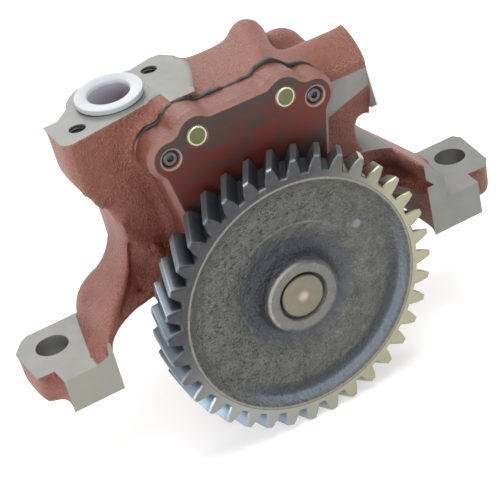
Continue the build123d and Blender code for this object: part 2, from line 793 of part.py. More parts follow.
driven_bushing_radius = axle_dia / 2 + bushing_wall
with BuildPart() as driven_gear:
    with BuildSketch(Plane(origin=(shaft_x, rotor_front, driven_z), x_dir=(1, 0, 0), z_dir=(0, -1, 0))):
        with BuildLine():
            tooth_outline(
                pump_teeth,
                centre_distance / 2,
                pump_tip,
                centre_distance / 2 - pump_dedendum,
                pump_pressure_angle,
                90.0 + 180.0 / pump_teeth,
            )
        make_face()
        Circle(driven_bushing_radius + 0.02, mode=Mode.SUBTRACT)
    extrude(amount=-pump_length)
driven_gear.part.label = "driven_gear"
export_step(driven_gear.part, "parts/driven_gear.step")


def ring(section, line, inner, outer, first, last):
    """Plain ring between two depths."""
    with BuildSketch(section) as outline:
        Polygon((inner, first), (outer, first), (outer, last), (inner, last), align=None)
    revolve(outline.sketch, axis=line)


def pin(section, line, radius, first, last, edge):
    """Pin between two depths with both of its ends chamfered."""
    with BuildSketch(section) as outline:
        Polygon(
            (0, first),
            (radius - edge, first),
            (radius, first + edge),
            (radius, last - edge),
            (radius - edge, last),
            (0, last),
            align=None,
        )
    revolve(outline.sketch, axis=line)


# ---- axle and bushings ----
with BuildPart() as driven_gear_axle:
    pin(driven_section, driven_line, axle_dia / 2, joint_y - 8.8, chamber_end + 9.8, 0.8)
driven_gear_axle.part.label = "driven_gear_axle"
export_step(driven_gear_axle.part, "parts/driven_gear_axle.step")

with BuildPart() as driven_gear_bushing:
    ring(
        driven_section,
        driven_line,
        axle_dia / 2 + running_clearance,
        driven_bushing_radius,
        rotor_front + 0.2,
        rotor_front + pump_length - 0.2,
    )
driven_gear_bushing.part.label = "driven_gear_bushing"
export_step(driven_gear_bushing.part, "parts/driven_gear_bushing.step")

with BuildPart() as cover_bushing:
    ring(
        half_section,
        shaft_line,
        shaft_dia / 2 + running_clearance,
        shaft_bushing_radius,
        cover_front + 0.2,
        joint_y - 0.2,
    )
cover_bushing.part.label = "cover_bushing"
export_step(cover_bushing.part, "parts/cover_bushing.step")

with BuildPart() as body_bushing:
    ring(
        half_section,
        shaft_line,
        shaft_dia / 2 + running_clearance,
        shaft_bushing_radius,
        chamber_end + 0.2,
        rear_boss_end - 4.2,
    )
body_bushing.part.label = "body_bushing"
export_step(body_bushing.part, "parts/body_bushing.step")

# ---- ring between the gear hub and the cover ----
with BuildPart() as spacer_ring:
    ring(
        half_section,
        shaft_line,
        shaft_dia / 2 + running_clearance,
        hub_radius - 1,
        gear_back,
        cover_front - end_clearance,
    )
spacer_ring.part.label = "spacer_ring"
export_step(spacer_ring.part, "parts/spacer_ring.step")

# ---- cup plug behind the shaft ----
with BuildPart() as cup_plug:
    with BuildSketch(half_section):
        Polygon(
            (0, rear_boss_end - 3.9),
            (cup_radius - 0.8, rear_boss_end - 3.9),
            (cup_radius, rear_boss_end - 3.1),
            (cup_radius, rear_boss_end - 0.3),
            (cup_radius - 1.4, rear_boss_end - 0.3),
            (cup_radius - 1.4, rear_boss_end - 2.5),
            (0, rear_boss_end - 2.5),
            align=None,
        )
    revolve(axis=shaft_line)
cup_plug.part.label = "cup_plug"
export_step(cup_plug.part, "parts/cup_plug.step")

# ---- dowel pins ----
with BuildPart() as dowel_pins:
    for x, z in dowel_places:
        pin_section = Plane(origin=(shaft_x + x, 0, shaft_z + z), x_dir=(1, 0, 0), z_dir=(0, 0, 1))
        pin_line = Axis((shaft_x + x, 0, shaft_z + z), (0, 1, 0))
        pin(pin_section, pin_line, dowel_dia / 2, cover_front + 2.6, body_front + 7.8, 0.6)
dowel_pins.part.label = "dowel_pins"
export_step(dowel_pins.part, "parts/dowel_pins.step")

# ---- cover bolts: cap screws from the rear, their ends flush with the cover face ----
washer_thickness = 1.6
head_height = 8.0
with BuildPart() as cover_bolts:
    for (x, z), seat in zip(bolt_places, bolt_seats):
        bolt_section = Plane(origin=(shaft_x + x, 0, shaft_z + z), x_dir=(1, 0, 0), z_dir=(0, 0, 1))
        bolt_line = Axis((shaft_x + x, 0, shaft_z + z), (0, 1, 0))
        pin(bolt_section, bolt_line, bolt_dia / 2, cover_front - 0.2, seat + washer_thickness + 1, 0.7)
        with BuildSketch(across(seat + washer_thickness)):
            with Locations((x, z)):
                Circle(head_bore - 0.55)
        extrude(amount=-head_height)
        with BuildSketch(across(seat + washer_thickness + head_height)):
            with Locations((x, z)):
                RegularPolygon(3.0, 6, major_radius=False)
        extrude(amount=4.0, mode=Mode.SUBTRACT)
cover_bolts.part.label = "cover_bolts"
export_step(cover_bolts.part, "parts/cover_bolts.step")

with BuildPart() as bolt_washers:
    for (x, z), seat in zip(bolt_places, bolt_seats):
        with BuildSketch(across(seat)):
            with Locations((x, z)):
                Circle(head_bore - 0.15)
                Circle(bolt_dia / 2 + 0.2, mode=Mode.SUBTRACT)
        extrude(amount=-washer_thickness)
bolt_washers.part.label = "bolt_washers"
export_step(bolt_washers.part, "parts/bolt_washers.step")

# ---- relief valve: plunger, spring, screw plug and seal ----
valve_section = Plane(origin=(valve_x, valve_y, 0), x_dir=(1, 0, 0), z_dir=(0, -1, 0))
valve_line = Axis((valve_x, valve_y, 0), (0, 0, 1))
plunger_top = port_z - 2.1
plunger_length = 14.0
with BuildPart() as relief_plunger:
    with BuildSketch(valve_section):
        Polygon(
            (0, plunger_top),
            (valve_radius - 1.2, plunger_top),
            (valve_radius, plunger_top - 1.2),
            (valve_radius, plunger_top - plunger_length),
            (valve_radius - 1.6, plunger_top - plunger_length),
            (valve_radius - 1.6, plunger_top - 3),
            (0, plunger_top - 3),
            align=None,
        )
    revolve(axis=valve_line)
relief_plunger.part.label = "relief_plunger"
export_step(relief_plunger.part, "parts/relief_plunger.step")

plug_inner = valve_low_z + valve_thread_length - 0.4
spring_wire = 1.5
spring_radius = valve_radius - 2.8
spring_low = plug_inner + spring_wire / 2
spring_high = plunger_top - 3 - spring_wire / 2
spring_turns = 7
turn_points = 8
with BuildPart() as relief_spring:
    with BuildLine(Plane(origin=(valve_x, valve_y, spring_low))):
        coil = Polyline(
            *[
                (
                    spring_radius * cos(2 * pi * k / turn_points),
                    spring_radius * sin(2 * pi * k / turn_points),
                    (spring_high - spring_low) * k / (spring_turns * turn_points),
                )
                for k in range(spring_turns * turn_points + 1)
            ]
        )
    with BuildSketch(Plane(origin=coil @ 0, z_dir=coil % 0)):
        RegularPolygon(spring_wire / 2, 6)
    sweep(path=coil, transition=Transition.RIGHT)
relief_spring.part.label = "relief_spring"
export_step(relief_spring.part, "parts/relief_spring.step")

seal_thickness = 1.5
with BuildPart() as relief_screw_plug:
    with BuildSketch(Plane.XY.offset(plug_inner)):
        with Locations((valve_x, valve_y)):
            Circle(valve_thread_radius)
    extrude(amount=-(plug_inner - valve_low_z + seal_thickness))
    with BuildSketch(Plane.XY.offset(valve_low_z - seal_thickness)):
        with Locations((valve_x, valve_y)):
            RegularPolygon(11.0, 6, major_radius=False)
    extrude(amount=-8)
    chamfer(relief_screw_plug.faces().sort_by(Axis.Z)[0].edges(), 0.8)
relief_screw_plug.part.label = "relief_screw_plug"
export_step(relief_screw_plug.part, "parts/relief_screw_plug.step")

with BuildPart() as relief_seal:
    with BuildSketch(Plane.XY.offset(valve_low_z)):
        with Locations((valve_x, valve_y)):
            Circle(valve_thread_radius + 3)
            Circle(valve_thread_radius + 0.1, mode=Mode.SUBTRACT)
    extrude(amount=-seal_thickness)
relief_seal.part.label = "relief_seal"
export_step(relief_seal.part, "parts/relief_seal.step")

# ---- plug that closes the drilled gallery ----
with BuildPart() as gallery_plug:
    with BuildSketch(Plane(origin=(gallery_end_x, gallery_y, port_z), x_dir=(0, 1, 0), z_dir=(1, 0, 0))):
        Circle(gallery_plug_radius)
    extrude(amount=gallery_plug_length - 0.1)
    with Locations((gallery_end_x, gallery_y, port_z)):
        Box(2.4, 1.2, 2 * gallery_plug_radius, mode=Mode.SUBTRACT)
gallery_plug.part.label = "gallery_plug"
export_step(gallery_plug.part, "parts/gallery_plug.step")


def shipping_plug(section, line, bore, rim, depth, seat):
    """Thin moulded cap: rim on the port face, cup pushed into the bore."""
    with BuildSketch(section) as outline:
        Polygon(
            (0, seat - depth),
            (bore - 1.0, seat - depth),
            (bore, seat - depth + 2.0),
            (bore, seat),
            (rim, seat),
            (rim, seat + 1.3),
            (bore - 1.5, seat + 1.3),
            (bore - 2.2, seat - depth + 1.5),
            (0, seat - depth + 1.5),
            align=None,
        )
    revolve(outline.sketch, axis=line)


# ---- shipping plugs of the two ports ----
inlet_rim_radius = 15.2
outlet_section = Plane(origin=(outlet_x, outlet_y, 0), x_dir=(1, 0, 0), z_dir=(0, -1, 0))
outlet_line = Axis((outlet_x, outlet_y, 0), (0, 0, 1))
with BuildPart() as outlet_plug:
    shipping_plug(
        outlet_section,
        outlet_line,
        outlet_bore_dia / 2 - plug_clearance,
        rim_radius,
        10.0,
        flange_top - rim_recess,
    )
outlet_plug.part.label = "outlet_plug"
export_step(outlet_plug.part, "parts/outlet_plug.step")

inlet_section = Plane(origin=(0, inlet_y, inlet_z), x_dir=(0, 1, 0), z_dir=(0, 0, -1))
inlet_line = Axis((0, inlet_y, inlet_z), (1, 0, 0))
with BuildPart() as inlet_plug:
    shipping_plug(
        inlet_section,
        inlet_line,
        inlet_bore_dia / 2 - plug_clearance,
        inlet_rim_radius,
        12.0,
        inlet_end,
    )
    # pull tab on the rim
    with BuildSketch(tube_section):
        Polygon((-12.4, 6.0), (-16.7, 3.6), (-20.0, -10.3), (-14.3, -13.7), (-9.0, -10.6), align=None)
        Circle(inlet_rim_radius - 0.5, mode=Mode.SUBTRACT)
    extrude(amount=1.3)
inlet_plug.part.label = "inlet_plug"
export_step(inlet_plug.part, "parts/inlet_plug.step")
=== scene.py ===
"""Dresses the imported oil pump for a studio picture, laid out as an add-on."""
from math import pi, radians

import bmesh
import bpy
import numpy as np
from bpy.props import FloatProperty, FloatVectorProperty, PointerProperty
from mathutils import Matrix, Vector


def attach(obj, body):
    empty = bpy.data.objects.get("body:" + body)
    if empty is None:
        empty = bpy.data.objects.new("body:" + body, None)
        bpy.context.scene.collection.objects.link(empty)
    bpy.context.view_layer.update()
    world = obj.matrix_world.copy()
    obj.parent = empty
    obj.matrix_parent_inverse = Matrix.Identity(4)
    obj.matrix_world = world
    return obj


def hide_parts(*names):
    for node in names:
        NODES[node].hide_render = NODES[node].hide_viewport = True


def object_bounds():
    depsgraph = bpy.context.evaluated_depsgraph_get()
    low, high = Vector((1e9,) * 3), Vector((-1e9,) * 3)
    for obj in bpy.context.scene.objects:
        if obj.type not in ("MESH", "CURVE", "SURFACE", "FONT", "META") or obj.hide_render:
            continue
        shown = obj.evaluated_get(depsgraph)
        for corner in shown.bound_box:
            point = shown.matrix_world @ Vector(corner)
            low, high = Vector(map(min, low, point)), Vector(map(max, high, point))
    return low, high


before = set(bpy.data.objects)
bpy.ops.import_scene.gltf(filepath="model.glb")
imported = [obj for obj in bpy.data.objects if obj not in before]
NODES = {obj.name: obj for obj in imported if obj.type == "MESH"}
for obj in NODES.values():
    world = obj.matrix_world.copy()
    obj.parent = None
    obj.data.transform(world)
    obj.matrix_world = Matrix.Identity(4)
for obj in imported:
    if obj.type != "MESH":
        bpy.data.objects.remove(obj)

bl_info = {
    "name": "Oil pump dressing",
    "version": (1, 0, 0),
    "blender": (4, 5, 0),
    "location": "3D View > Sidebar > Oil pump",
    "description": "Materials, gear surface and studio for the gear driven oil pump",
    "category": "Object",
}

START_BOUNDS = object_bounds()
MM = 0.001
# every length below is in millimetres in the part's own frame
SHAFT = (-2.0, -4.0)  # x and z of the shaft's axis
SHAFT_WALL = 8.05  # radius of the gear's bore
GEAR_FRONT, GEAR_WIDTH = -39.0, 15.0
GEAR_MODULE, GEAR_TEETH, GEAR_HELIX = 2.75, 36, radians(28.0)
GEAR_CHAMFER = 0.65
HUB, DISH = 14.7, 49.42  # radii of the hub's face and of the dish in the web
COVER_FRONT, COVER_BACK = -20.0, -7.0
JOINT = -5.8
GASKET_MIDDLE = 17.0  # height of the middle of the joint
FLANGE_TOP = 80.0
PAD_TOP = 24.0
FOOT_FRONT = -26.0
WALL_BACK = 46.4
LUG_BACK = 51.4
TUBE_END = 60.0
OUTLET = (-37.3, 15.5)  # x and y of the outlet's axis
INLET = (11.0, 54.0)  # y and z of the inlet's axis
INLET_BORE = 12.9
FOOT_STEP = 78.0  # where the milled steps of the feet end, from the middle
# x, y and radius of each upright hole
FOOT_HOLES = ((-94.5, 0.0, 6.75), (94.5, 0.0, 6.75))
THREADED_HOLES = ((-57.54, 4.05, 3.4), (-17.06, 26.95, 3.4))
OUTLET_BORE = 14.0
THREAD_PITCH = 1.25
# each milled plane: axis across it, its level, the way it looks
MILLED = (
    (2, FLANGE_TOP, 1), (2, 0.0, 1), (2, PAD_TOP, 1), (1, FOOT_FRONT, -1),
    (1, JOINT, -1), (1, WALL_BACK, 1), (1, LUG_BACK, 1), (0, TUBE_END, 1),
)
# x and z of each bolt and dowel from the shaft's axis
BOLTS = ((19.0, 73.8), (-19.0, 73.8), (19.0, -31.8), (-19.0, -31.8), (34.1, -4.0), (-34.1, -4.0))
DOWELS = ((31.2, 69.0), (-31.2, 69.0))
SEEN_BY = ("Is Camera Ray", "Is Glossy Ray", "Is Transmission Ray")
# each light: name, place, target and size in metres, share of the key light's power
LIGHTS = (
    ("key", (0.1, -0.15, 1.0), (0.0, 0.0, 0.02), (0.6, 0.6), 1.0),
    ("fill", (-0.6, -0.85, 0.12), (0.0, 0.0, 0.0), (0.4, 0.4), 0.6),
    ("left", (-0.85, 0.25, 0.1), (0.0, 0.0, 0.02), (0.4, 0.4), 0.35),
    ("back", (0.0, 0.8, 0.5), (0.0, 0.0, 0.02), (0.6, 0.3), 0.4),
)
# place of the camera in metres, and the ways its right and its lower side point
CAMERA_PLACE = (-0.177, -0.4681, 0.3125)
CAMERA_RIGHT = (0.864, -0.458, -0.21)
CAMERA_DOWN = (-0.410, -0.396, -0.821)


def linear(hex_colour):
    """sRGB hex colour to linear RGBA."""
    c = np.array([int(hex_colour[i:i + 2], 16) for i in (1, 3, 5)]) / 255.0
    c = np.where(c <= 0.04045, c / 12.92, ((c + 0.055) / 1.055) ** 2.4)
    return (*[float(x) for x in c], 1.0)


def add(tree, kind, links=None, **settings):
    """Adds one shader node with its settings; links maps each input to a value, an output or another node.

    A node given as a link stands for its first output that is in use.
    """
    node = tree.nodes.new(kind)
    for key, value in settings.items():
        setattr(node, key, value)
    for key, value in (links or {}).items():
        if isinstance(value, bpy.types.Node):
            value = next(output for output in value.outputs if output.enabled)
        if isinstance(value, bpy.types.NodeSocket):
            tree.links.new(value, node.inputs[key])
        else:
            node.inputs[key].default_value = value
    return node


def start(name):
    """New material with an empty tree, its object coordinates in millimetres and its surface normal."""
    material = bpy.data.materials.new(name)
    material.use_nodes = True
    tree = material.node_tree
    tree.nodes.clear()
    coords = add(tree, "ShaderNodeTexCoord")
    metres, normal = coords.outputs["Object"], coords.outputs["Normal"]
    place = add(tree, "ShaderNodeVectorMath", {0: metres, "Scale": 1 / MM}, operation="SCALE")
    return material, tree, place, normal


def give(names, material):
    """Puts one material on CAD nodes or pieces."""
    for name in names:
        item = NODES[name] if isinstance(name, str) else name
        item.data.materials.clear()
        item.data.materials.append(material)


def plane_mask(tree, place, normal, axis, level, sign, width=0.25):
    """1 on faces that lie in one plane across an axis and look along it, else 0."""
    split_place = add(tree, "ShaderNodeSeparateXYZ", {0: place})
    split_normal = add(tree, "ShaderNodeSeparateXYZ", {0: normal})
    off = add(tree, "ShaderNodeMath", {
        0: add(tree, "ShaderNodeMath", {0: split_place.outputs[axis], 1: level}, operation="SUBTRACT"),
    }, operation="ABSOLUTE")
    near = add(tree, "ShaderNodeMath", {0: off, 1: width}, operation="LESS_THAN")
    along = add(tree, "ShaderNodeMath", {
        0: add(tree, "ShaderNodeMath", {0: split_normal.outputs[axis], 1: sign}, operation="MULTIPLY"),
        1: 0.9,
    }, operation="GREATER_THAN")
    return add(tree, "ShaderNodeMath", {0: near, 1: along}, operation="MULTIPLY")


def most(tree, values):
    """Largest of several values."""
    out = values[0]
    for value in values[1:]:
        out = add(tree, "ShaderNodeMath", {0: out, 1: value}, operation="MAXIMUM")
    return out


def distance_from(tree, place, first, second, middle):
    """Millimetres from a line along the third axis; first and second name the two axes across it."""
    parts = add(tree, "ShaderNodeSeparateXYZ", {0: place})
    u = add(tree, "ShaderNodeMath", {0: parts.outputs[first], 1: middle[0]}, operation="SUBTRACT")
    v = add(tree, "ShaderNodeMath", {0: parts.outputs[second], 1: middle[1]}, operation="SUBTRACT")
    square = add(tree, "ShaderNodeMath", {
        0: add(tree, "ShaderNodeMath", {0: u, 1: u}, operation="MULTIPLY"),
        1: add(tree, "ShaderNodeMath", {0: v, 1: v}, operation="MULTIPLY"),
    }, operation="ADD")
    return add(tree, "ShaderNodeMath", {0: square}, operation="SQRT")


def band(tree, value, middle, inner, outer):
    """1 where a value lies within inner of the middle, falling smoothly to 0 at outer."""
    off = add(tree, "ShaderNodeMath", {
        0: add(tree, "ShaderNodeMath", {0: value, 1: middle}, operation="SUBTRACT"),
    }, operation="ABSOLUTE")
    return add(tree, "ShaderNodeMath", {
        0: 1.0,
        1: add(tree, "ShaderNodeMapRange", {
            "Value": off, "From Min": inner, "From Max": outer,
        }, interpolation_type="SMOOTHSTEP"),
    }, operation="SUBTRACT")


def tinted(tree, colour, layers):
    """A colour under several tints in turn, each of them a mask, its share and an sRGB hex colour."""
    for mask, share, tint in layers:
        part = add(tree, "ShaderNodeMath", {0: mask, 1: share}, operation="MULTIPLY")
        colour = add(tree, "ShaderNodeMix", {0: part, 6: colour, 7: linear(tint)}, data_type="RGBA")
    return colour


def primer(tree, place, settings):
    """Colour, roughness and height of thin sprayed primer on a sand casting.

    It is darker red-brown in the hollows, which is painted shade from ambient occlusion, and paler in the
    open and in random clouds; its edges are paler, partly from wear and partly as painted highlight, and the
    pale tops of the grain are painted highlight. The sand grain is 0.75 mm, coarser than the real 0.4 mm so
    that it shows; the lumps of the mould's wall are 5 mm.
    """
    # ambient occlusion darkens the hollows to a deeper red: painted shade
    occlusion_shade = add(tree, "ShaderNodeAmbientOcclusion", {"Distance": 14.0 * MM}, samples=6).outputs["AO"]
    curve = add(tree, "ShaderNodeNewGeometry").outputs["Pointiness"]
    cloud = add(tree, "ShaderNodeTexNoise", {
        "Vector": place, "Scale": 1 / 16.0, "Detail": 4.0, "Roughness": 0.55,
    })
    lumps = add(tree, "ShaderNodeTexNoise", {
        "Vector": place, "Scale": 1 / 5.0, "Detail": 3.0, "Roughness": 0.6,
    })
    fine = add(tree, "ShaderNodeTexNoise", {
        "Vector": place, "Scale": 1 / 0.75, "Detail": 3.0, "Roughness": 0.65,
    })
    # the primer is paler higher up and deeper red on the arms below
    level = add(tree, "ShaderNodeSeparateXYZ", {0: place}).outputs[2]
    upper = add(tree, "ShaderNodeMapRange", {
        "Value": level, "From Min": 2.0, "From Max": 34.0,
    }, interpolation_type="SMOOTHSTEP")
    # paleness in random clouds, less in the hollows where the occlusion paints shade, more higher up
    dust_and_shade = add(tree, "ShaderNodeMath", {
        0: cloud, 1: 1.5,
        2: add(tree, "ShaderNodeMath", {0: occlusion_shade, 1: 0.98}, operation="SUBTRACT"),
    }, operation="MULTIPLY_ADD")
    dust_and_shade = add(tree, "ShaderNodeMath", {
        0: upper, 1: 0.32,
        2: add(tree, "ShaderNodeMath", {0: dust_and_shade, 1: 0.16}, operation="SUBTRACT"),
    }, operation="MULTIPLY_ADD")
    dust_and_shade_share = add(tree, "ShaderNodeMapRange", {
        "Value": dust_and_shade, "From Min": 0.25, "From Max": 0.75,
    }, interpolation_type="SMOOTHSTEP")
    colour = add(tree, "ShaderNodeMix", {
        0: dust_and_shade_share,
        6: tuple(settings.primer_deep_and_shaded),
        7: tuple(settings.primer_dusty_and_lit),
    }, data_type="RGBA")
    # the grain shows in patches: dark pits, and pale tops that are painted highlight
    patch = add(tree, "ShaderNodeTexNoise", {
        "Vector": place, "Scale": 1 / 22.0, "Detail": 2.0, "Roughness": 0.5,
    })
    grain = add(tree, "ShaderNodeMapRange", {
        "Value": patch, "From Min": 0.35, "From Max": 0.6,
    }, interpolation_type="SMOOTHSTEP")
    # edges paler, partly wear of the primer and partly painted highlight
    worn_and_lit_edges = add(tree, "ShaderNodeMapRange", {
        "Value": curve, "From Min": 0.515, "From Max": 0.6,
    }, interpolation_type="SMOOTHSTEP")
    grain_crest_highlights = add(tree, "ShaderNodeMath", {
        0: add(tree, "ShaderNodeMapRange", {
            "Value": fine, "From Min": 0.53, "From Max": 0.7,
        }, interpolation_type="SMOOTHSTEP"),
        1: add(tree, "ShaderNodeMath", {0: grain, 1: 0.3, 2: 0.14}, operation="MULTIPLY_ADD"),
    }, operation="MULTIPLY")
    pits = add(tree, "ShaderNodeMath", {
        0: add(tree, "ShaderNodeMapRange", {
            "Value": fine, "From Min": 0.5, "From Max": 0.32,
        }, interpolation_type="SMOOTHSTEP"),
        1: add(tree, "ShaderNodeMath", {0: grain, 1: 0.42, 2: 0.2}, operation="MULTIPLY_ADD"),
    }, operation="MULTIPLY")
    layers = [(worn_and_lit_edges, 0.6, "#a5857a"), (grain_crest_highlights, 1.0, "#b98b7c"), (pits, 1.0, "#4a1d15")]
    colour = tinted(tree, colour, layers)
    swell = add(tree, "ShaderNodeMath", {0: lumps, 1: 1.4}, operation="MULTIPLY")
    height = add(tree, "ShaderNodeMath", {0: fine, 1: swell}, operation="ADD")
    rough = add(tree, "ShaderNodeMix", {0: cloud, 2: 0.4, 3: 0.52})
    return colour, rough, height


def milled(tree, place, dark, light):
    """Colour, roughness and height of milled iron: dull grey clouds of 9 mm, dark pores, fine cutter marks.

    The pores are drawn 0.7 mm wide and the marks 0.45 mm apart, coarser than real ones so that they show.
    """
    cloud = add(tree, "ShaderNodeTexNoise", {
        "Vector": place, "Scale": 1 / 9.0, "Detail": 3.0, "Roughness": 0.5,
    })
    specks = add(tree, "ShaderNodeTexNoise", {
        "Vector": place, "Scale": 1 / 0.7, "Detail": 3.0, "Roughness": 0.7,
    })
    marks = add(tree, "ShaderNodeTexNoise", {
        "Vector": add(tree, "ShaderNodeVectorMath", {0: place, 1: (0.1, 1.0, 0.35)}, operation="MULTIPLY"),
        "Scale": 1 / 0.45, "Detail": 2.0, "Roughness": 0.5,
    })
    pores = add(tree, "ShaderNodeMapRange", {
        "Value": specks, "From Min": 0.6, "From Max": 0.75,
    }, interpolation_type="SMOOTHSTEP")
    colour = add(tree, "ShaderNodeMix", {0: cloud, 6: linear(dark), 7: linear(light)}, data_type="RGBA")
    colour = tinted(tree, colour, [(pores, 0.5, "#5c5b57")])
    rough = add(tree, "ShaderNodeMix", {0: marks, 2: 0.46, 3: 0.6})
    height = add(tree, "ShaderNodeMath", {0: marks, 1: 0.3}, operation="MULTIPLY")
    return colour, rough, height


def skin(tree, colour, rough, metallic, height, depth, rounding=0.0):
    """Shader of a surface with relief of a depth and edges softened by a radius, both in millimetres."""
    relief = {"Height": height, "Distance": depth * MM, "Strength": 1.0}
    if rounding:
        relief["Normal"] = add(tree, "ShaderNodeBevel", {"Radius": rounding * MM}, samples=6)
    bump = add(tree, "ShaderNodeBump", relief)
    return add(tree, "ShaderNodeBsdfPrincipled", {
        "Base Color": colour, "Roughness": rough, "Metallic": metallic, "Normal": bump,
    })


def new_piece(name, points, faces, smooth_angle=35.0):
    """Closed mesh object from points in millimetres: faces turned outwards, smooth shaded up to an angle."""
    mesh = bpy.data.meshes.new(name)
    mesh.from_pydata((np.asarray(points) * MM).tolist(), [], faces)
    mesh.validate()
    shape = bmesh.new()
    shape.from_mesh(mesh)
    bmesh.ops.recalc_face_normals(shape, faces=shape.faces)
    shape.to_mesh(mesh)
    shape.free()
    mesh.shade_smooth()
    mesh.set_sharp_from_angle(angle=radians(smooth_angle))
    piece = bpy.data.objects.new(name, mesh)
    bpy.context.scene.collection.objects.link(piece)
    return piece


def loop_faces(rows, columns, close_rows=True):
    """Quads of a grid whose columns close on themselves, and its rows too if asked."""
    r = np.arange(rows if close_rows else rows - 1)
    c = np.arange(columns)
    a, b = np.meshgrid(r, c, indexing="ij")
    here = a * columns + b
    right = a * columns + (b + 1) % columns
    below = ((a + 1) % rows) * columns + b
    corner = ((a + 1) % rows) * columns + (b + 1) % columns
    return np.stack([here, right, corner, below], -1).reshape(-1, 4).tolist()


def smooth_curve(knots, count):
    """Catmull-Rom curve through the knots, count points on each span, as one array."""
    k = np.asarray(knots, float)
    ends = np.vstack([2 * k[0] - k[1], k, 2 * k[-1] - k[-2]])
    t = np.linspace(0, 1, count, endpoint=False)[None, :, None]
    p0, p1, p2, p3 = ends[:-3, None], ends[1:-2, None], ends[2:-1, None], ends[3:, None]
    curve = 0.5 * (2 * p1 + (p2 - p0) * t + (2 * p0 - 5 * p1 + 4 * p2 - p3) * t**2
                   + (3 * p1 - p0 - 3 * p2 + p3) * t**3)
    return np.vstack([curve.reshape(-1, k.shape[1]), k[-1:]])


def read(collection, key, kind, width):
    """One attribute of every item of a mesh collection, as an array with width columns."""
    values = np.zeros(len(collection) * width, kind)
    collection.foreach_get(key, values)
    return values.reshape(-1, width) if width > 1 else values


def even_copy(name, node, cell):
    """Copy of a CAD node's shape in even four-sided faces about cell millimetres wide, its edges sharp."""
    source = bpy.data.objects.new(name, NODES[node].data.copy())
    bpy.context.scene.collection.objects.link(source)
    shape = bmesh.new()
    shape.from_mesh(source.data)
    bmesh.ops.remove_doubles(shape, verts=shape.verts, dist=2e-6)
    shape.to_mesh(source.data)
    shape.free()
    modifier = source.modifiers.new("even", "REMESH")
    modifier.mode = "SHARP"
    modifier.octree_depth = 8
    modifier.use_remove_disconnected = False
    longest = np.ptp(read(source.data.vertices, "co", np.float32, 3), 0).max()
    modifier.scale = float(longest / (cell * MM * 2**modifier.octree_depth))
    mesh = bpy.data.meshes.new_from_object(source.evaluated_get(bpy.context.evaluated_depsgraph_get()))
    bpy.data.objects.remove(source)
    piece = bpy.data.objects.new(name, mesh)
    bpy.context.scene.collection.objects.link(piece)
    return piece


def relax(piece, machined, first, fill, last):
    """Rounds off a casting as a sand mould does.

    Every free point moves a share of the way to the middle of its neighbours, first and last times; between,
    fill times, it moves only outwards, so inner corners fill up with a broad blend. Points of machined faces
    stay.
    """
    mesh = piece.data
    count = len(mesh.vertices)
    points = read(mesh.vertices, "co", np.float32, 3).astype(float) / MM
    edges = read(mesh.edges, "vertices", np.int32, 2)
    near = np.concatenate([edges[:, 0], edges[:, 1]])
    far = np.concatenate([edges[:, 1], edges[:, 0]])
    ties = np.bincount(near, minlength=count)

    def pull(values):
        """Way from each point to the middle of its neighbours."""
        middle = [np.bincount(near, weights=column[far], minlength=count) / ties for column in values.T]
        return np.stack(middle, 1) - values

    loops = read(mesh.loops, "vertex_index", np.int32, 1)
    face = np.repeat(np.arange(len(mesh.polygons)), read(mesh.polygons, "loop_total", np.int32, 1))
    centre = read(mesh.polygons, "center", np.float32, 3) / MM
    held_faces = machined(centre, read(mesh.polygons, "normal", np.float32, 3))
    free = np.ones((count, 1))
    free[loops[held_faces[face]]] = 0.0
    for step in range(first):
        points += 0.5 * free * pull(points)
    for step in range(fill):
        mesh.vertices.foreach_set("co", (points * MM).astype(np.float32).ravel())
        mesh.update()
        normal = read(mesh.vertex_normals, "vector", np.float32, 3)
        move = pull(points)
        out = (move * normal).sum(1, keepdims=True)
        for turn in range(3):
            out = out + 0.5 * pull(out)
        slide = move - (move * normal).sum(1, keepdims=True) * normal
        points += free * (0.5 * np.clip(out, 0, None) * normal + 0.25 * slide + 0.06 * move)
    for step in range(last):
        points += 0.5 * free * pull(points)
    mesh.vertices.foreach_set("co", (points * MM).astype(np.float32).ravel())
    mesh.update()
    mesh.shade_smooth()
    mesh.set_sharp_from_angle(angle=radians(48))


def body_machined(centre, normal):
    """Which faces of the body are milled or drilled, from their centres and normals in millimetres."""
    held = np.zeros(len(centre), bool)
    for axis, level, sign in MILLED:
        held |= (abs(centre[:, axis] - level) < 0.3) & (normal[:, axis] * sign > 0.9)
    for x, y, radius in (*FOOT_HOLES, *THREADED_HOLES, (*OUTLET, OUTLET_BORE + 0.2)):
        held |= np.hypot(centre[:, 0] - x, centre[:, 1] - y) < radius + 0.25
    held |= (np.hypot(centre[:, 1] - INLET[0], centre[:, 2] - INLET[1]) < INLET_BORE) & (centre[:, 0] > 20)
    # the steps of the feet stay sharp where they are milled
    held |= (abs(abs(centre[:, 0]) - FOOT_STEP) < 0.3) & (centre[:, 2] < 0.1) & (centre[:, 1] < -20)
    return held


def cover_machined(centre, normal):
    """Which faces of the cover are ground or drilled."""
    held = abs(centre[:, 1] - COVER_FRONT) < 0.3
    held |= abs(centre[:, 1] - COVER_BACK) < 0.3
    held |= abs(normal[:, 1]) < 0.9
    return held


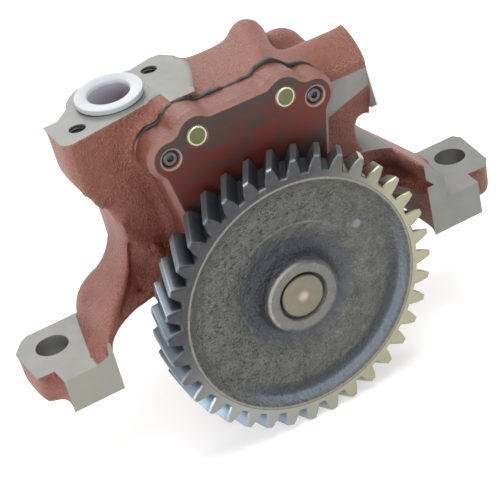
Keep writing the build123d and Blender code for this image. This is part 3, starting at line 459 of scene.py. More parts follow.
def gear_outline(teeth, pitch, tip, root, pressure, first, backlash):
    """Polar outline of an involute gear, tooth after tooth.

    A flank point at radius r lies at the half tooth angle of the base circle less tan(a) - a, where cos(a) is
    base radius over r; arcs close the tip and the root.
    """
    base = pitch * np.cos(pressure)

    def spread(r):
        """Involute tan(a) - a at radius r."""
        q = np.sqrt(np.maximum((r / base) ** 2 - 1, 0))
        return q - np.arctan(q)

    half = pi / (2 * teeth) - backlash / (2 * pitch) + spread(pitch)
    low = max(base, root)
    flank = np.linspace(low, tip, 7)
    rise = -half + spread(flank)
    fall = half - spread(flank[::-1])
    root_turn = np.linspace(fall[-1], 2 * pi / teeth + rise[0], 6)[1:-1]
    turn = np.concatenate([rise, [rise[-1] / 3, fall[0] / 3], fall, root_turn])
    radius = np.concatenate([flank, [tip, tip], flank[::-1], np.full(4, low)])
    middle = np.radians(first) + 2 * pi * np.arange(teeth)[:, None] / teeth
    return np.tile(radius, teeth), (middle + turn[None]).ravel()


def inset(radius, turn, depth):
    """The polar outline moved inwards along its own normal by a depth."""
    x, z = radius * np.cos(turn), radius * np.sin(turn)
    dx, dz = np.roll(x, -1) - np.roll(x, 1), np.roll(z, -1) - np.roll(z, 1)
    length = np.hypot(dx, dz)
    x, z = x - depth * dz / length, z + depth * dx / length
    return np.hypot(x, z), np.arctan2(z, x)


def paste_bead(name, node):
    """Sealing paste pressed out of the joint: the gasket's edge, pushed out and thickened by slow sines."""
    piece = even_copy(name, node, 0.62)
    mesh = piece.data
    points = read(mesh.vertices, "co", np.float32, 3).astype(float) / MM
    normal = read(mesh.vertex_normals, "vector", np.float32, 3).astype(float)
    x, y, z = points.T
    away = np.hypot(normal[:, 0], normal[:, 2])
    outer = ((x - SHAFT[0]) * normal[:, 0] + (z - GASKET_MIDDLE) * normal[:, 2]) > 0
    swell = 1.25 + 0.45 * np.sin(0.21 * x + 0.13 * z) + 0.3 * np.sin(0.53 * x - 0.37 * z + 1.7)
    swell += 0.15 * np.sin(1.3 * x + 0.9 * z) + 0.5 * np.clip((x - 5.0) / 20.0, -0.3, 1)
    edge = outer & (away > 0.3) & (np.hypot(x - SHAFT[0], z - SHAFT[1]) > 30)
    push = np.where(edge, np.clip(swell, 0.1, None), 0.0) * np.clip((z - 64.0) / 9.0, 0.0, 1)
    points[:, 0] += push * normal[:, 0]
    points[:, 1] += 0.4 * push * np.sign(y - 0.5 * (y.min() + y.max()))
    points[:, 2] += push * normal[:, 2]
    mesh.vertices.foreach_set("co", (points * MM).astype(np.float32).ravel())
    mesh.update()
    mesh.shade_smooth()
    return piece


def turned(profile, places, around, steps=48):
    """Closed turned shapes: a profile of (radius, height) pairs carried once round each place.

    around(place, u, v, height) gives the point; the first and last radius are zero.
    """
    profile = np.asarray(profile, float)
    angle = 2 * pi * np.arange(steps) / steps
    radius, height = profile[1:-1, 0, None], profile[1:-1, 1, None]
    rows = len(profile) - 2
    turn = np.arange(steps)
    after = (turn + 1) % steps
    points, faces = [], []
    for place in places:
        base = sum(len(block) for block in points)
        ring = around(place, radius * np.cos(angle), radius * np.sin(angle), height + 0 * angle)
        ends = around(place, np.zeros(2), np.zeros(2), profile[[0, -1], 1])
        points += [ring.reshape(-1, 3), ends.reshape(-1, 3)]
        body = np.array(loop_faces(rows, steps, close_rows=False)) + base
        faces += body.tolist()
        first, last = base + rows * steps, base + rows * steps + 1
        last_row = base + (rows - 1) * steps
        faces += np.stack([turn * 0 + first, base + after, base + turn], 1).tolist()
        faces += np.stack([turn * 0 + last, last_row + turn, last_row + after], 1).tolist()
    return np.concatenate(points), faces


def on_cover(place, u, v, height):
    """Point beside a place on the cover face; height grows out of the face."""
    return np.stack([SHAFT[0] + place[0] + u, COVER_FRONT - height + 0 * u, SHAFT[1] + place[1] - v], -1)


def on_outlet(place, u, v, height):
    """Point beside a place on the outlet flange; height grows out of the face.

    The rim of the cap sits askew: above 0.12 mm it stands 1.1 mm higher and a little to the left, and rises
    by 0.087 of the distance towards the back.
    """
    askew = np.clip((height + 0 * u - 0.12) * 20, 0, 1)
    rise = askew * (1.1 + 0.087 * (0.346 * u + 0.938 * v))
    x, y = place[0] + u - 1.3 * askew, place[1] + v + 0.7 * askew
    return np.stack([x, y, FLANGE_TOP + height + rise], -1)


def on_gear(place, u, v, height):
    """Point beside a place on the front of the gear; height grows out of the face."""
    return np.stack([place[0] + u, GEAR_FRONT - height + 0 * u, place[1] - v], -1)


def thread_surface(place, steps=40):
    """Thread crests in a tapped hole: radius 3.36 less half a triangle wave of height / pitch - turn."""
    turn = 2 * pi * np.arange(steps) / steps
    height = np.arange(0.15, 4.9, 0.156)[:, None]
    wave = (height / THREAD_PITCH - turn / (2 * pi)) % 1.0
    inner = 3.36 - 0.5 * np.clip(1 - abs(2 * wave - 1) * 1.4, 0, None) * np.clip(height / 0.8, 0, 1)
    outer = np.full_like(inner, 3.395)
    loop_radius = np.concatenate([inner, outer[::-1]])
    loop_height = np.concatenate([height, height[::-1]]) + 0 * turn
    x, y = place[0] + loop_radius * np.cos(turn), place[1] - loop_radius * np.sin(turn)
    points = np.stack([x, y, FLANGE_TOP - loop_height], -1)
    return points.reshape(-1, 3), loop_faces(points.shape[0], steps)


def drive_gear_surface():
    """Helical gear as one closed surface.

    Rows run from the bore over the hub, the dish and the rim, out over the chamfered tooth ends, along the
    twisted teeth and back through the rear web to the bore; columns follow the tooth outline. Every row turns
    with its depth by tan(helix) / pitch radius.
    """
    module, width, chamfer = GEAR_MODULE, GEAR_WIDTH, GEAR_CHAMFER
    pitch = module / np.cos(GEAR_HELIX) * GEAR_TEETH / 2
    tip, root = pitch + module, pitch - 1.25 * module
    pressure = np.arctan(np.tan(radians(20.0)) / np.cos(GEAR_HELIX))
    radius, turn = gear_outline(GEAR_TEETH, pitch, tip, root, pressure, 2.3, 0.12)
    # radius and depth of the front: counterbore and hub face, then moat and web, then the rim's foot
    lead = [(SHAFT_WALL, 3.2), (10.3, 3.15), (10.4, 3.0), (10.5, 0.5), (10.75, 0.1), (11.2, 0.0), (12.5, 0.0)]
    web = smooth_curve([
        (HUB, 0.0), (HUB + 0.6, 0.25), (HUB + 1.2, 0.9), (HUB + 1.7, 2.2), (HUB + 2.2, 4.2), (HUB + 3.2, 6.3),
        (HUB + 5.2, 7.6), (HUB + 8.5, 7.4), (HUB + 12.5, 6.2), (HUB + 16.0, 5.0), (HUB + 19.5, 4.5),
        (DISH - 9.5, 4.7), (DISH - 7.0, 4.5), (DISH - 4.6, 3.7), (DISH - 2.6, 2.3), (DISH - 1.1, 0.8),
        (DISH - 0.3, 0.12), (DISH, 0.0),
    ], 3)
    rim = [(DISH + 0.3, 0.0), (DISH + 0.8, 0.0), (DISH + 1.5, 0.0)]
    front_rows = np.vstack([lead, web, rim])
    back_rows = front_rows[::-1][::2] * (1, -0.6) + (0, width)
    rows = []

    def row(r, t, depth):
        """Adds a row of points at a depth, turned by the helix."""
        r, t, depth = np.broadcast_arrays(r, t, depth)
        t = t - np.tan(GEAR_HELIX) * depth / pitch
        rows.append(np.stack([SHAFT[0] + r * np.cos(t), GEAR_FRONT + depth, SHAFT[1] + r * np.sin(t)], -1))

    inner_radius, inner_turn = inset(radius, turn, chamfer)
    for r, depth in front_rows:
        row(r, turn, depth)
    row(inner_radius - 0.15, inner_turn, 0.0)
    row(inner_radius, inner_turn, 0.02)
    row(radius - 0.08, turn, chamfer * 0.9)
    for depth in np.linspace(chamfer * 1.15, width - chamfer * 1.15, 9):
        row(radius, turn, depth)
    row(radius - 0.08, turn, width - chamfer * 0.9)
    row(inner_radius, inner_turn, width - 0.02)
    row(inner_radius - 0.15, inner_turn, width)
    for r, depth in back_rows:
        row(r, turn, depth)
    for depth in np.linspace(width - 3.0, 3.0, 4):
        row(SHAFT_WALL, turn, depth)
    points = np.array(rows)
    faces = loop_faces(points.shape[0], points.shape[1])
    return points.reshape(-1, 3), faces


def casting_material(settings):
    """Sand cast grey iron under sprayed red-brown primer, milled faces bare: gives the two-tone body."""
    material, tree, place, normal = start("sand_cast_iron_primed")
    red, red_rough, red_height = primer(tree, place, settings)
    grey, grey_rough, grey_height = milled(tree, place, "#7b7b77", "#8e8e8a")
    x, y, z = add(tree, "ShaderNodeSeparateXYZ", {0: place}).outputs
    # parts of the body that hold milled faces: the pad, the left of the flange, its top and the feet
    pad = add(tree, "ShaderNodeMath", {0: x, 1: 51.0}, operation="GREATER_THAN")
    left = add(tree, "ShaderNodeMath", {0: x, 1: -2.0}, operation="LESS_THAN")
    top = add(tree, "ShaderNodeMath", {0: z, 1: 60.0}, operation="GREATER_THAN")
    spread = add(tree, "ShaderNodeMath", {0: x}, operation="ABSOLUTE")
    feet = add(tree, "ShaderNodeMath", {0: spread, 1: 66.0}, operation="GREATER_THAN")
    # the joint plane is bare only beside the cover, in a slanting strip along the inlet tube
    right = add(tree, "ShaderNodeMath", {0: x, 1: 30.0}, operation="GREATER_THAN")
    slope = add(tree, "ShaderNodeMath", {0: x, 1: -0.33, 2: z}, operation="MULTIPLY_ADD")
    strip = add(tree, "ShaderNodeMath", {
        0: add(tree, "ShaderNodeMath", {0: slope, 1: 32.5}, operation="GREATER_THAN"),
        1: add(tree, "ShaderNodeMath", {0: z, 1: 59.8}, operation="LESS_THAN"),
    }, operation="MULTIPLY")
    beside = add(tree, "ShaderNodeMath", {0: right, 1: strip}, operation="MULTIPLY")
    flange_face = plane_mask(tree, place, normal, 2, FLANGE_TOP, 1)
    foot_face = plane_mask(tree, place, normal, 2, 0.0, 1)
    foot_front = plane_mask(tree, place, normal, 1, FOOT_FRONT, -1)
    pad_face = plane_mask(tree, place, normal, 2, PAD_TOP, 1)
    joint_face = plane_mask(tree, place, normal, 1, JOINT, -1)
    # drilled walls are a little darker than the milled faces: painted shade in the holes
    outlet, bores = [], []
    for group, holes in ((outlet, (*THREADED_HOLES, (*OUTLET, OUTLET_BORE))), (bores, FOOT_HOLES)):
        for hole in holes:
            away = distance_from(tree, place, 0, 1, hole[:2])
            group.append(add(tree, "ShaderNodeMath", {0: away, 1: hole[2] + 0.15}, operation="LESS_THAN"))
    drilled = most(tree, [
        add(tree, "ShaderNodeMath", {0: top, 1: most(tree, outlet)}, operation="MULTIPLY"),
        add(tree, "ShaderNodeMath", {0: feet, 1: most(tree, bores)}, operation="MULTIPLY"),
    ])
    flat = most(tree, [flange_face, foot_face])
    # painted shade on the walls and floors of the holes, not on the faces round them
    sunk = add(tree, "ShaderNodeMath", {
        0: drilled,
        1: add(tree, "ShaderNodeMath", {0: 1.0, 1: flat}, operation="SUBTRACT"),
    }, operation="MULTIPLY")
    # the front of the left foot is a little paler: painted light
    pale = add(tree, "ShaderNodeMath", {
        0: foot_front,
        1: add(tree, "ShaderNodeMath", {0: x, 1: 0.0}, operation="LESS_THAN"),
    }, operation="MULTIPLY")
    grey = tinted(tree, grey, [(sunk, 1.0, "#7d7d78"), (pale, 0.7, "#98978b")])
    bare = most(tree, [
        add(tree, "ShaderNodeMath", {0: left, 1: flange_face}, operation="MULTIPLY"),
        add(tree, "ShaderNodeMath", {0: feet, 1: foot_face}, operation="MULTIPLY"),
        foot_front,
        add(tree, "ShaderNodeMath", {0: pad, 1: pad_face}, operation="MULTIPLY"),
        add(tree, "ShaderNodeMath", {0: beside, 1: joint_face}, operation="MULTIPLY"),
        plane_mask(tree, place, normal, 1, LUG_BACK, 1),
        plane_mask(tree, place, normal, 0, TUBE_END, 1),
        drilled,
    ])
    painted = skin(tree, red, red_rough, 0.0, red_height, 0.65)
    metal = skin(tree, grey, grey_rough, 0.45, grey_height, 0.08)
    surface = add(tree, "ShaderNodeMixShader", {0: bare, 1: painted, 2: metal})
    add(tree, "ShaderNodeOutputMaterial", {"Surface": surface})
    return material


def cover_material(settings):
    """Ground iron cover, thinly misted with primer: gives a dark streaky face inside a painted edge."""
    material, tree, place, normal = start("ground_iron_primer_haze")
    red, red_rough, red_height = primer(tree, place, settings)
    grey, grey_rough, grey_height = milled(tree, place, "#312c29", "#433d38")
    x, y, z = add(tree, "ShaderNodeSeparateXYZ", {0: place}).outputs
    # the haze, in streaks of 6 mm by 13 mm, is thick in the middle of the face, thin near rim and gear
    slant = add(tree, "ShaderNodeMath", {
        0: z,
        1: add(tree, "ShaderNodeMath", {0: x, 1: -0.1}, operation="MULTIPLY"),
    }, operation="ADD")
    thick = band(tree, slant, 58.0, 5.0, 16.0)
    streak = add(tree, "ShaderNodeTexNoise", {
        "Vector": add(tree, "ShaderNodeVectorMath", {0: place, 1: (0.45, 1.0, 1.0)}, operation="MULTIPLY"),
        "Scale": 1 / 6.0, "Detail": 4.0, "Roughness": 0.6,
    })
    haze = add(tree, "ShaderNodeMath", {
        0: add(tree, "ShaderNodeMapRange", {
            "Value": streak, "From Min": 0.25, "From Max": 0.6,
        }, interpolation_type="SMOOTHSTEP"),
        1: add(tree, "ShaderNodeMath", {0: thick, 1: 0.8, 2: 0.12}, operation="MULTIPLY_ADD"),
    }, operation="MULTIPLY")
    rings, wells = [], []
    for dowel_x, dowel_z in DOWELS:
        away = distance_from(tree, place, 0, 2, (SHAFT[0] + dowel_x, SHAFT[1] + dowel_z))
        rings.append(band(tree, away, 4.1, 0.2, 0.5))
        wells.append(add(tree, "ShaderNodeMath", {0: away, 1: 3.9}, operation="LESS_THAN"))
    grey = tinted(tree, grey, [(haze, 1.0, "#652518"), (most(tree, rings), 0.8, "#a09c96")])
    face = most(tree, [plane_mask(tree, place, normal, 1, COVER_FRONT, -1), *wells])
    # painted highlight: the primer is paler on the rounded edge round the face
    edge = add(tree, "ShaderNodeMapRange", {
        "Value": y, "From Min": COVER_FRONT + 4.0, "From Max": COVER_FRONT + 0.5,
    }, interpolation_type="SMOOTHSTEP")
    red = tinted(tree, red, [(1.0, 0.45, "#62352b"), (edge, 0.6, "#8c675c")])
    painted = skin(tree, red, red_rough, 0.0, red_height, 0.25)
    metal = skin(tree, grey, grey_rough, 0.3, grey_height, 0.1)
    surface = add(tree, "ShaderNodeMixShader", {0: face, 1: painted, 2: metal})
    add(tree, "ShaderNodeOutputMaterial", {"Surface": surface})
    return material


def plain_metal(name, dark, light, rough, metallic=1.0):
    """Machined or plated metal: mottled over 3.2 mm between two tones, marks drawn 0.8 mm wide to show."""
    material, tree, place, normal = start(name)
    cloud = add(tree, "ShaderNodeTexNoise", {
        "Vector": place, "Scale": 1 / 3.2, "Detail": 3.0, "Roughness": 0.5,
    })
    marks = add(tree, "ShaderNodeTexNoise", {
        "Vector": place, "Scale": 1 / 0.8, "Detail": 3.0, "Roughness": 0.5,
    })
    colour = add(tree, "ShaderNodeMix", {0: cloud, 6: linear(dark), 7: linear(light)}, data_type="RGBA")
    spread = add(tree, "ShaderNodeMix", {0: marks, 2: rough - 0.06, 3: rough + 0.08})
    surface = skin(tree, colour, spread, metallic, marks, 0.05, 0.25)
    add(tree, "ShaderNodeOutputMaterial", {"Surface": surface})
    return material


def shaft_end_material():
    """Turned shaft end, oiled brown: fine rings, a painted highlight in the middle, painted shade at its
    edge.
    """
    material, tree, place, normal = start("turned_shaft_end")
    radius = distance_from(tree, place, 0, 2, SHAFT)
    cloud = add(tree, "ShaderNodeTexNoise", {
        "Vector": place, "Scale": 1 / 4.0, "Detail": 4.0, "Roughness": 0.6,
    })
    # painted highlight: a bright spot in the middle of the end
    centre = add(tree, "ShaderNodeMapRange", {
        "Value": radius, "From Min": 3.2, "From Max": 0.4,
    }, interpolation_type="SMOOTHSTEP")
    # painted shade: a darker edge next to the hub's bore
    rim = add(tree, "ShaderNodeMapRange", {
        "Value": radius, "From Min": 8.2, "From Max": 9.2,
    }, interpolation_type="SMOOTHSTEP")
    colour = add(tree, "ShaderNodeMix", {
        0: cloud,
        6: linear("#6e695b"),
        7: linear("#8a8473"),
    }, data_type="RGBA")
    colour = tinted(tree, colour, [(centre, 1.0, "#b9ad99"), (rim, 1.0, "#5e584d")])
    # turning rings 0.7 mm apart, drawn wider than the tool's real feed so that they show
    rings = add(tree, "ShaderNodeMath", {
        0: add(tree, "ShaderNodeMath", {0: radius, 1: 9.0}, operation="MULTIPLY"),
    }, operation="SINE")
    surface = skin(tree, colour, 0.42, 0.7, rings, 0.012)
    add(tree, "ShaderNodeOutputMaterial", {"Surface": surface})
    return material


def paste_material(settings):
    """Black sealing paste, painted over lower down: gives the dark line along the top of the joint."""
    material, tree, place, normal = start("black_sealing_paste")
    red, red_rough, red_height = primer(tree, place, settings)
    level = add(tree, "ShaderNodeSeparateXYZ", {0: place}).outputs[2]
    cloud = add(tree, "ShaderNodeTexNoise", {
        "Vector": place, "Scale": 1 / 3.0, "Detail": 3.0, "Roughness": 0.5,
    })
    ragged = add(tree, "ShaderNodeTexNoise", {
        "Vector": place, "Scale": 1 / 4.0, "Detail": 2.0, "Roughness": 0.5,
    })
    black = add(tree, "ShaderNodeMix", {
        0: cloud,
        6: linear("#141312"),
        7: linear("#232120"),
    }, data_type="RGBA")
    bare = add(tree, "ShaderNodeMapRange", {
        "Value": add(tree, "ShaderNodeMath", {0: ragged, 1: 4.0, 2: level}, operation="MULTIPLY_ADD"),
        "From Min": 71.0, "From Max": 75.0,
    }, interpolation_type="SMOOTHSTEP")
    colour = add(tree, "ShaderNodeMix", {0: bare, 6: red, 7: black}, data_type="RGBA")
    surface = skin(tree, colour, 0.5, 0.0, red_height, 0.2)
    add(tree, "ShaderNodeOutputMaterial", {"Surface": surface})
    return material


def zinc_material():
    """Yellow passivated zinc: olive in the dished end of each bolt, pale on the ring round it."""
    material, tree, place, normal = start("yellow_passivated_zinc")
    near = [distance_from(tree, place, 0, 2, (SHAFT[0] + x, SHAFT[1] + z)) for x, z in BOLTS]
    radius = near[0]
    for other in near[1:]:
        radius = add(tree, "ShaderNodeMath", {0: radius, 1: other}, operation="MINIMUM")
    ring = add(tree, "ShaderNodeMath", {
        0: add(tree, "ShaderNodeMapRange", {
            "Value": radius, "From Min": 3.1, "From Max": 3.4,
        }, interpolation_type="SMOOTHSTEP"),
        1: add(tree, "ShaderNodeMath", {0: radius, 1: 4.2}, operation="LESS_THAN"),
    }, operation="MULTIPLY")
    cloud = add(tree, "ShaderNodeTexNoise", {
        "Vector": place, "Scale": 1 / 2.0, "Detail": 3.0, "Roughness": 0.5,
    })
    crystals = add(tree, "ShaderNodeTexNoise", {
        "Vector": place, "Scale": 1 / 0.8, "Detail": 2.0, "Roughness": 0.5,
    })
    colour = add(tree, "ShaderNodeMix", {
        0: cloud,
        6: linear("#5b5b3b"),
        7: linear("#757651"),
    }, data_type="RGBA")
    colour = tinted(tree, colour, [(ring, 1.0, "#c9cbae")])
    surface = skin(tree, colour, 0.4, 0.6, crystals, 0.04)
    add(tree, "ShaderNodeOutputMaterial", {"Surface": surface})
    return material


def forged_skin(tree, place, radius):
    """Drop forged web: scaled dark grey with pits, scraped lip and hub, painted blue shade and painted
    highlights.

    Scale comes in clouds of 5 mm, pits of about 0.95 mm and grit of 0.5 mm, over swells of 3.2 mm.
    """
    x, y, z = add(tree, "ShaderNodeSeparateXYZ", {0: place}).outputs
    scale = add(tree, "ShaderNodeTexNoise", {
        "Vector": place, "Scale": 1 / 5.0, "Detail": 4.0, "Roughness": 0.6,
    })
    pits = add(tree, "ShaderNodeTexNoise", {
        "Vector": add(tree, "ShaderNodeVectorMath", {0: place, 1: (0.55, 1.0, 1.0)}, operation="MULTIPLY"),
        "Scale": 1 / 0.95, "Detail": 4.0, "Roughness": 0.65,
    })
    grit = add(tree, "ShaderNodeTexNoise", {
        "Vector": place, "Scale": 1 / 0.5, "Detail": 2.0, "Roughness": 0.7,
    })
    swells = add(tree, "ShaderNodeTexNoise", {
        "Vector": place, "Scale": 1 / 3.2, "Detail": 4.0, "Roughness": 0.6,
    })
    # pitting is strongest towards the upper left; the painted light and shade of the rim's foot lie lower
    # right
    toward = add(tree, "ShaderNodeMath", {
        0: add(tree, "ShaderNodeMath", {0: z, 1: 0.5}, operation="MULTIPLY"),
        1: x,
    }, operation="SUBTRACT")
    rough_part = add(tree, "ShaderNodeMath", {
        0: add(tree, "ShaderNodeMapRange", {
            "Value": radius, "From Min": 20.0, "From Max": 30.0,
        }, interpolation_type="SMOOTHSTEP"),
        1: add(tree, "ShaderNodeMapRange", {
            "Value": toward, "From Min": -50.0, "From Max": 25.0,
        }, interpolation_type="SMOOTHSTEP"),
    }, operation="MULTIPLY")
    sunk = add(tree, "ShaderNodeMath", {
        0: add(tree, "ShaderNodeMapRange", {
            "Value": pits, "From Min": 0.49, "From Max": 0.34,
        }, interpolation_type="SMOOTHSTEP"),
        1: add(tree, "ShaderNodeMath", {0: rough_part, 1: 0.65, 2: 0.2}, operation="MULTIPLY_ADD"),
    }, operation="MULTIPLY")
    lower = add(tree, "ShaderNodeMapRange", {
        "Value": add(tree, "ShaderNodeMath", {
            0: add(tree, "ShaderNodeMath", {0: x, 1: 0.5}, operation="MULTIPLY"),
            1: z,
        }, operation="SUBTRACT"),
        "From Min": 2.0, "From Max": 44.0,
    }, interpolation_type="SMOOTHSTEP")
    # rings of the web, from the moat round the hub out to the foot of the rim
    moat = band(tree, radius, 20.0, 2.0, 8.0)
    foot = add(tree, "ShaderNodeMath", {
        0: band(tree, radius, 45.0, 1.5, 4.5),
        1: lower,
    }, operation="MULTIPLY")
    # painted shade tinted dark blue in the moat, and a painted bluish reflection on the rim's lower foot
    blue = add(tree, "ShaderNodeMath", {
        0: add(tree, "ShaderNodeMath", {0: moat, 1: foot}, operation="MAXIMUM"),
        1: 0.6,
    }, operation="MULTIPLY")
    off_moat = add(tree, "ShaderNodeMath", {
        0: add(tree, "ShaderNodeMath", {0: radius, 1: 18.5}, operation="SUBTRACT"),
    }, operation="ABSOLUTE")
    upper_left = add(tree, "ShaderNodeMapRange", {
        "Value": add(tree, "ShaderNodeMath", {0: z, 1: x}, operation="SUBTRACT"),
        "From Min": -16.0, "From Max": 14.0,
    }, interpolation_type="SMOOTHSTEP")
    shade = add(tree, "ShaderNodeMath", {
        0: add(tree, "ShaderNodeMapRange", {
            "Value": off_moat, "From Min": 5.0, "From Max": 1.0,
        }, interpolation_type="SMOOTHSTEP"),
        1: upper_left,
    }, operation="MULTIPLY")
    # painted highlight on the wall of the dish towards the lower right
    wall = add(tree, "ShaderNodeMath", {
        0: lower,
        1: band(tree, radius, 46.9, 0.6, 2.0),
    }, operation="MULTIPLY")
    # painted shade in the ring just inside that wall
    crease = add(tree, "ShaderNodeMath", {
        0: lower,
        1: band(tree, radius, 43.0, 0.8, 3.0),
    }, operation="MULTIPLY")
    # scraped lip between the web and the rim, and the face of the hub
    # painted highlights on the hub's edge towards the upper left and on an arc above the hub
    lip = band(tree, radius, DISH + 0.1, 0.25, 0.65)
    hub_edge_highlight = add(tree, "ShaderNodeMath", {
        0: add(tree, "ShaderNodeMapRange", {
            "Value": toward, "From Min": 2.0, "From Max": 14.0,
        }, interpolation_type="SMOOTHSTEP"),
        1: band(tree, radius, HUB + 0.3, 0.3, 0.9),
    }, operation="MULTIPLY")
    hub = add(tree, "ShaderNodeMath", {
        0: 1.0,
        1: add(tree, "ShaderNodeMapRange", {
            "Value": radius, "From Min": HUB - 0.6, "From Max": HUB - 0.1,
        }, interpolation_type="SMOOTHSTEP"),
    }, operation="SUBTRACT")
    arc_highlight = add(tree, "ShaderNodeMath", {
        0: band(tree, radius, 29.5, 0.3, 1.0),
        1: add(tree, "ShaderNodeMapRange", {
            "Value": z, "From Min": 14.0, "From Max": 24.0,
        }, interpolation_type="SMOOTHSTEP"),
    }, operation="MULTIPLY")
    # a bright knock and a dark stain, each about 2 mm in radius
    knock = add(tree, "ShaderNodeMapRange", {
        "Value": distance_from(tree, place, 0, 2, (SHAFT[0] + 30.5, SHAFT[1] + 17.4)),
        "From Min": 2.4, "From Max": 1.2,
    }, interpolation_type="SMOOTHSTEP")
    stain = add(tree, "ShaderNodeMapRange", {
        "Value": distance_from(tree, place, 0, 2, (SHAFT[0] + 25.3, SHAFT[1] - 13.8)),
        "From Min": 2.2, "From Max": 0.8,
    }, interpolation_type="SMOOTHSTEP")
    bright_grit = add(tree, "ShaderNodeMapRange", {
        "Value": grit, "From Min": 0.52, "From Max": 0.7,
    }, interpolation_type="SMOOTHSTEP")
    colour = add(tree, "ShaderNodeMix", {
        0: add(tree, "ShaderNodeMapRange", {
            "Value": scale, "From Min": 0.3, "From Max": 0.7,
        }, interpolation_type="SMOOTHSTEP"),
        6: linear("#545551"),
        7: linear("#6a6a65"),
    }, data_type="RGBA")
    colour = tinted(tree, colour, [
        (bright_grit, 0.5, "#a19f97"),
        (sunk, 1.0, "#232424"),
        (blue, 1.0, "#434957"),
        (shade, 0.5, "#2a2e37"),
        (wall, 0.65, "#7e8995"),
        (crease, 0.55, "#2f3438"),
        (lip, 0.8, "#97928a"),
        (hub_edge_highlight, 0.7, "#b4aea4"),
        (hub, 0.6, "#83827d"),
        (knock, 0.7, "#8d97a6"),
        (stain, 0.7, "#3d4a4b"),
        (arc_highlight, 0.3, "#9aa0a8"),
    ])
    height = add(tree, "ShaderNodeMath", {
        0: pits, 1: 0.8,
        2: add(tree, "ShaderNodeMath", {0: swells, 1: 1.7}, operation="MULTIPLY"),
    }, operation="MULTIPLY_ADD")
    dull = add(tree, "ShaderNodeMix", {0: scale, 2: 0.45, 3: 0.58})
    rough = add(tree, "ShaderNodeMix", {0: blue, 2: dull, 3: 0.34})
    return skin(tree, colour, rough, 0.5, height, 0.9)


def cut_skin(tree, place, normal, radius):
    """Hobbed and hardened teeth, light and shade painted by side: violet black painted shade at the upper
    left;
    light blue flanks and straw, partly temper tint and partly painted light, towards the right.

    Hob marks are drawn 0.5 mm wide, coarser than real ones so that they show.
    """
    x, y, z = add(tree, "ShaderNodeSeparateXYZ", {0: place}).outputs
    facing = add(tree, "ShaderNodeSeparateXYZ", {0: normal}).outputs[1]
    cloud = add(tree, "ShaderNodeTexNoise", {
        "Vector": place, "Scale": 1 / 2.5, "Detail": 3.0, "Roughness": 0.5,
    })
    marks = add(tree, "ShaderNodeTexNoise", {
        "Vector": add(tree, "ShaderNodeVectorMath", {0: place, 1: (0.3, 1.0, 0.3)}, operation="MULTIPLY"),
        "Scale": 1 / 0.5, "Detail": 2.0, "Roughness": 0.5,
    })
    flank = add(tree, "ShaderNodeMath", {
        0: add(tree, "ShaderNodeMath", {0: facing}, operation="ABSOLUTE"),
        1: 0.8,
    }, operation="LESS_THAN")
    across = add(tree, "ShaderNodeMath", {
        0: x, 1: 0.7,
        2: add(tree, "ShaderNodeMath", {0: flank, 1: 16.0}, operation="MULTIPLY"),
    }, operation="MULTIPLY_ADD")
    # painted light and shade by side: violet black at the upper left, lighter towards the lower right
    side = add(tree, "ShaderNodeMapRange", {
        "Value": add(tree, "ShaderNodeMath", {0: across, 1: z}, operation="SUBTRACT"),
        "From Min": -44.0, "From Max": 18.0,
    }, interpolation_type="SMOOTHSTEP")
    straw = add(tree, "ShaderNodeMapRange", {
        "Value": add(tree, "ShaderNodeMath", {0: z, 1: -0.3, 2: x}, operation="MULTIPLY_ADD"),
        "From Min": -12.0, "From Max": 36.0,
    }, interpolation_type="SMOOTHSTEP")
    violet = add(tree, "ShaderNodeMix", {
        0: flank,
        6: linear("#38373e"),
        7: linear("#454d57"),
    }, data_type="RGBA")
    lit_cool = add(tree, "ShaderNodeMix", {
        0: flank,
        6: linear("#9b9d97"),
        7: linear("#93a8b9"),
    }, data_type="RGBA")
    light = add(tree, "ShaderNodeMix", {0: straw, 6: lit_cool, 7: linear("#a9a58a")}, data_type="RGBA")
    colour = add(tree, "ShaderNodeMix", {0: side, 6: violet, 7: light}, data_type="RGBA")
    # painted highlight on the tooth tops, and painted shade in the gaps between the teeth
    tooth_top_highlight = add(tree, "ShaderNodeMath", {
        0: flank,
        1: add(tree, "ShaderNodeMapRange", {
            "Value": radius, "From Min": 58.2, "From Max": 58.6,
        }, interpolation_type="SMOOTHSTEP"),
    }, operation="MULTIPLY")
    root_shade = add(tree, "ShaderNodeMath", {
        0: flank,
        1: add(tree, "ShaderNodeMapRange", {
            "Value": radius, "From Min": 57.0, "From Max": 52.5,
        }, interpolation_type="SMOOTHSTEP"),
    }, operation="MULTIPLY")
    colour = tinted(tree, colour, [(tooth_top_highlight, 0.4, "#94a2a8"), (root_shade, 0.6, "#2b2e33"), (cloud, 0.35, "#7d7d79")])
    return skin(tree, colour, 0.34, 0.8, marks, 0.03)


def gear_material():
    """Hardened steel gear: pitted dark forged web in a rim, teeth cut bright, tinted by temper and painted
    light.
    """
    material, tree, place, normal = start("hardened_steel_gear")
    radius = distance_from(tree, place, 0, 2, SHAFT)
    cut = cut_skin(tree, place, normal, radius)
    forged = forged_skin(tree, place, radius)
    web = add(tree, "ShaderNodeMath", {
        0: 1.0,
        1: add(tree, "ShaderNodeMapRange", {
            "Value": radius, "From Min": DISH + 0.7, "From Max": DISH + 0.9,
        }, interpolation_type="SMOOTHSTEP"),
    }, operation="SUBTRACT")
    surface = add(tree, "ShaderNodeMixShader", {0: web, 1: cut, 2: forged})
    add(tree, "ShaderNodeOutputMaterial", {"Surface": surface})
    return material


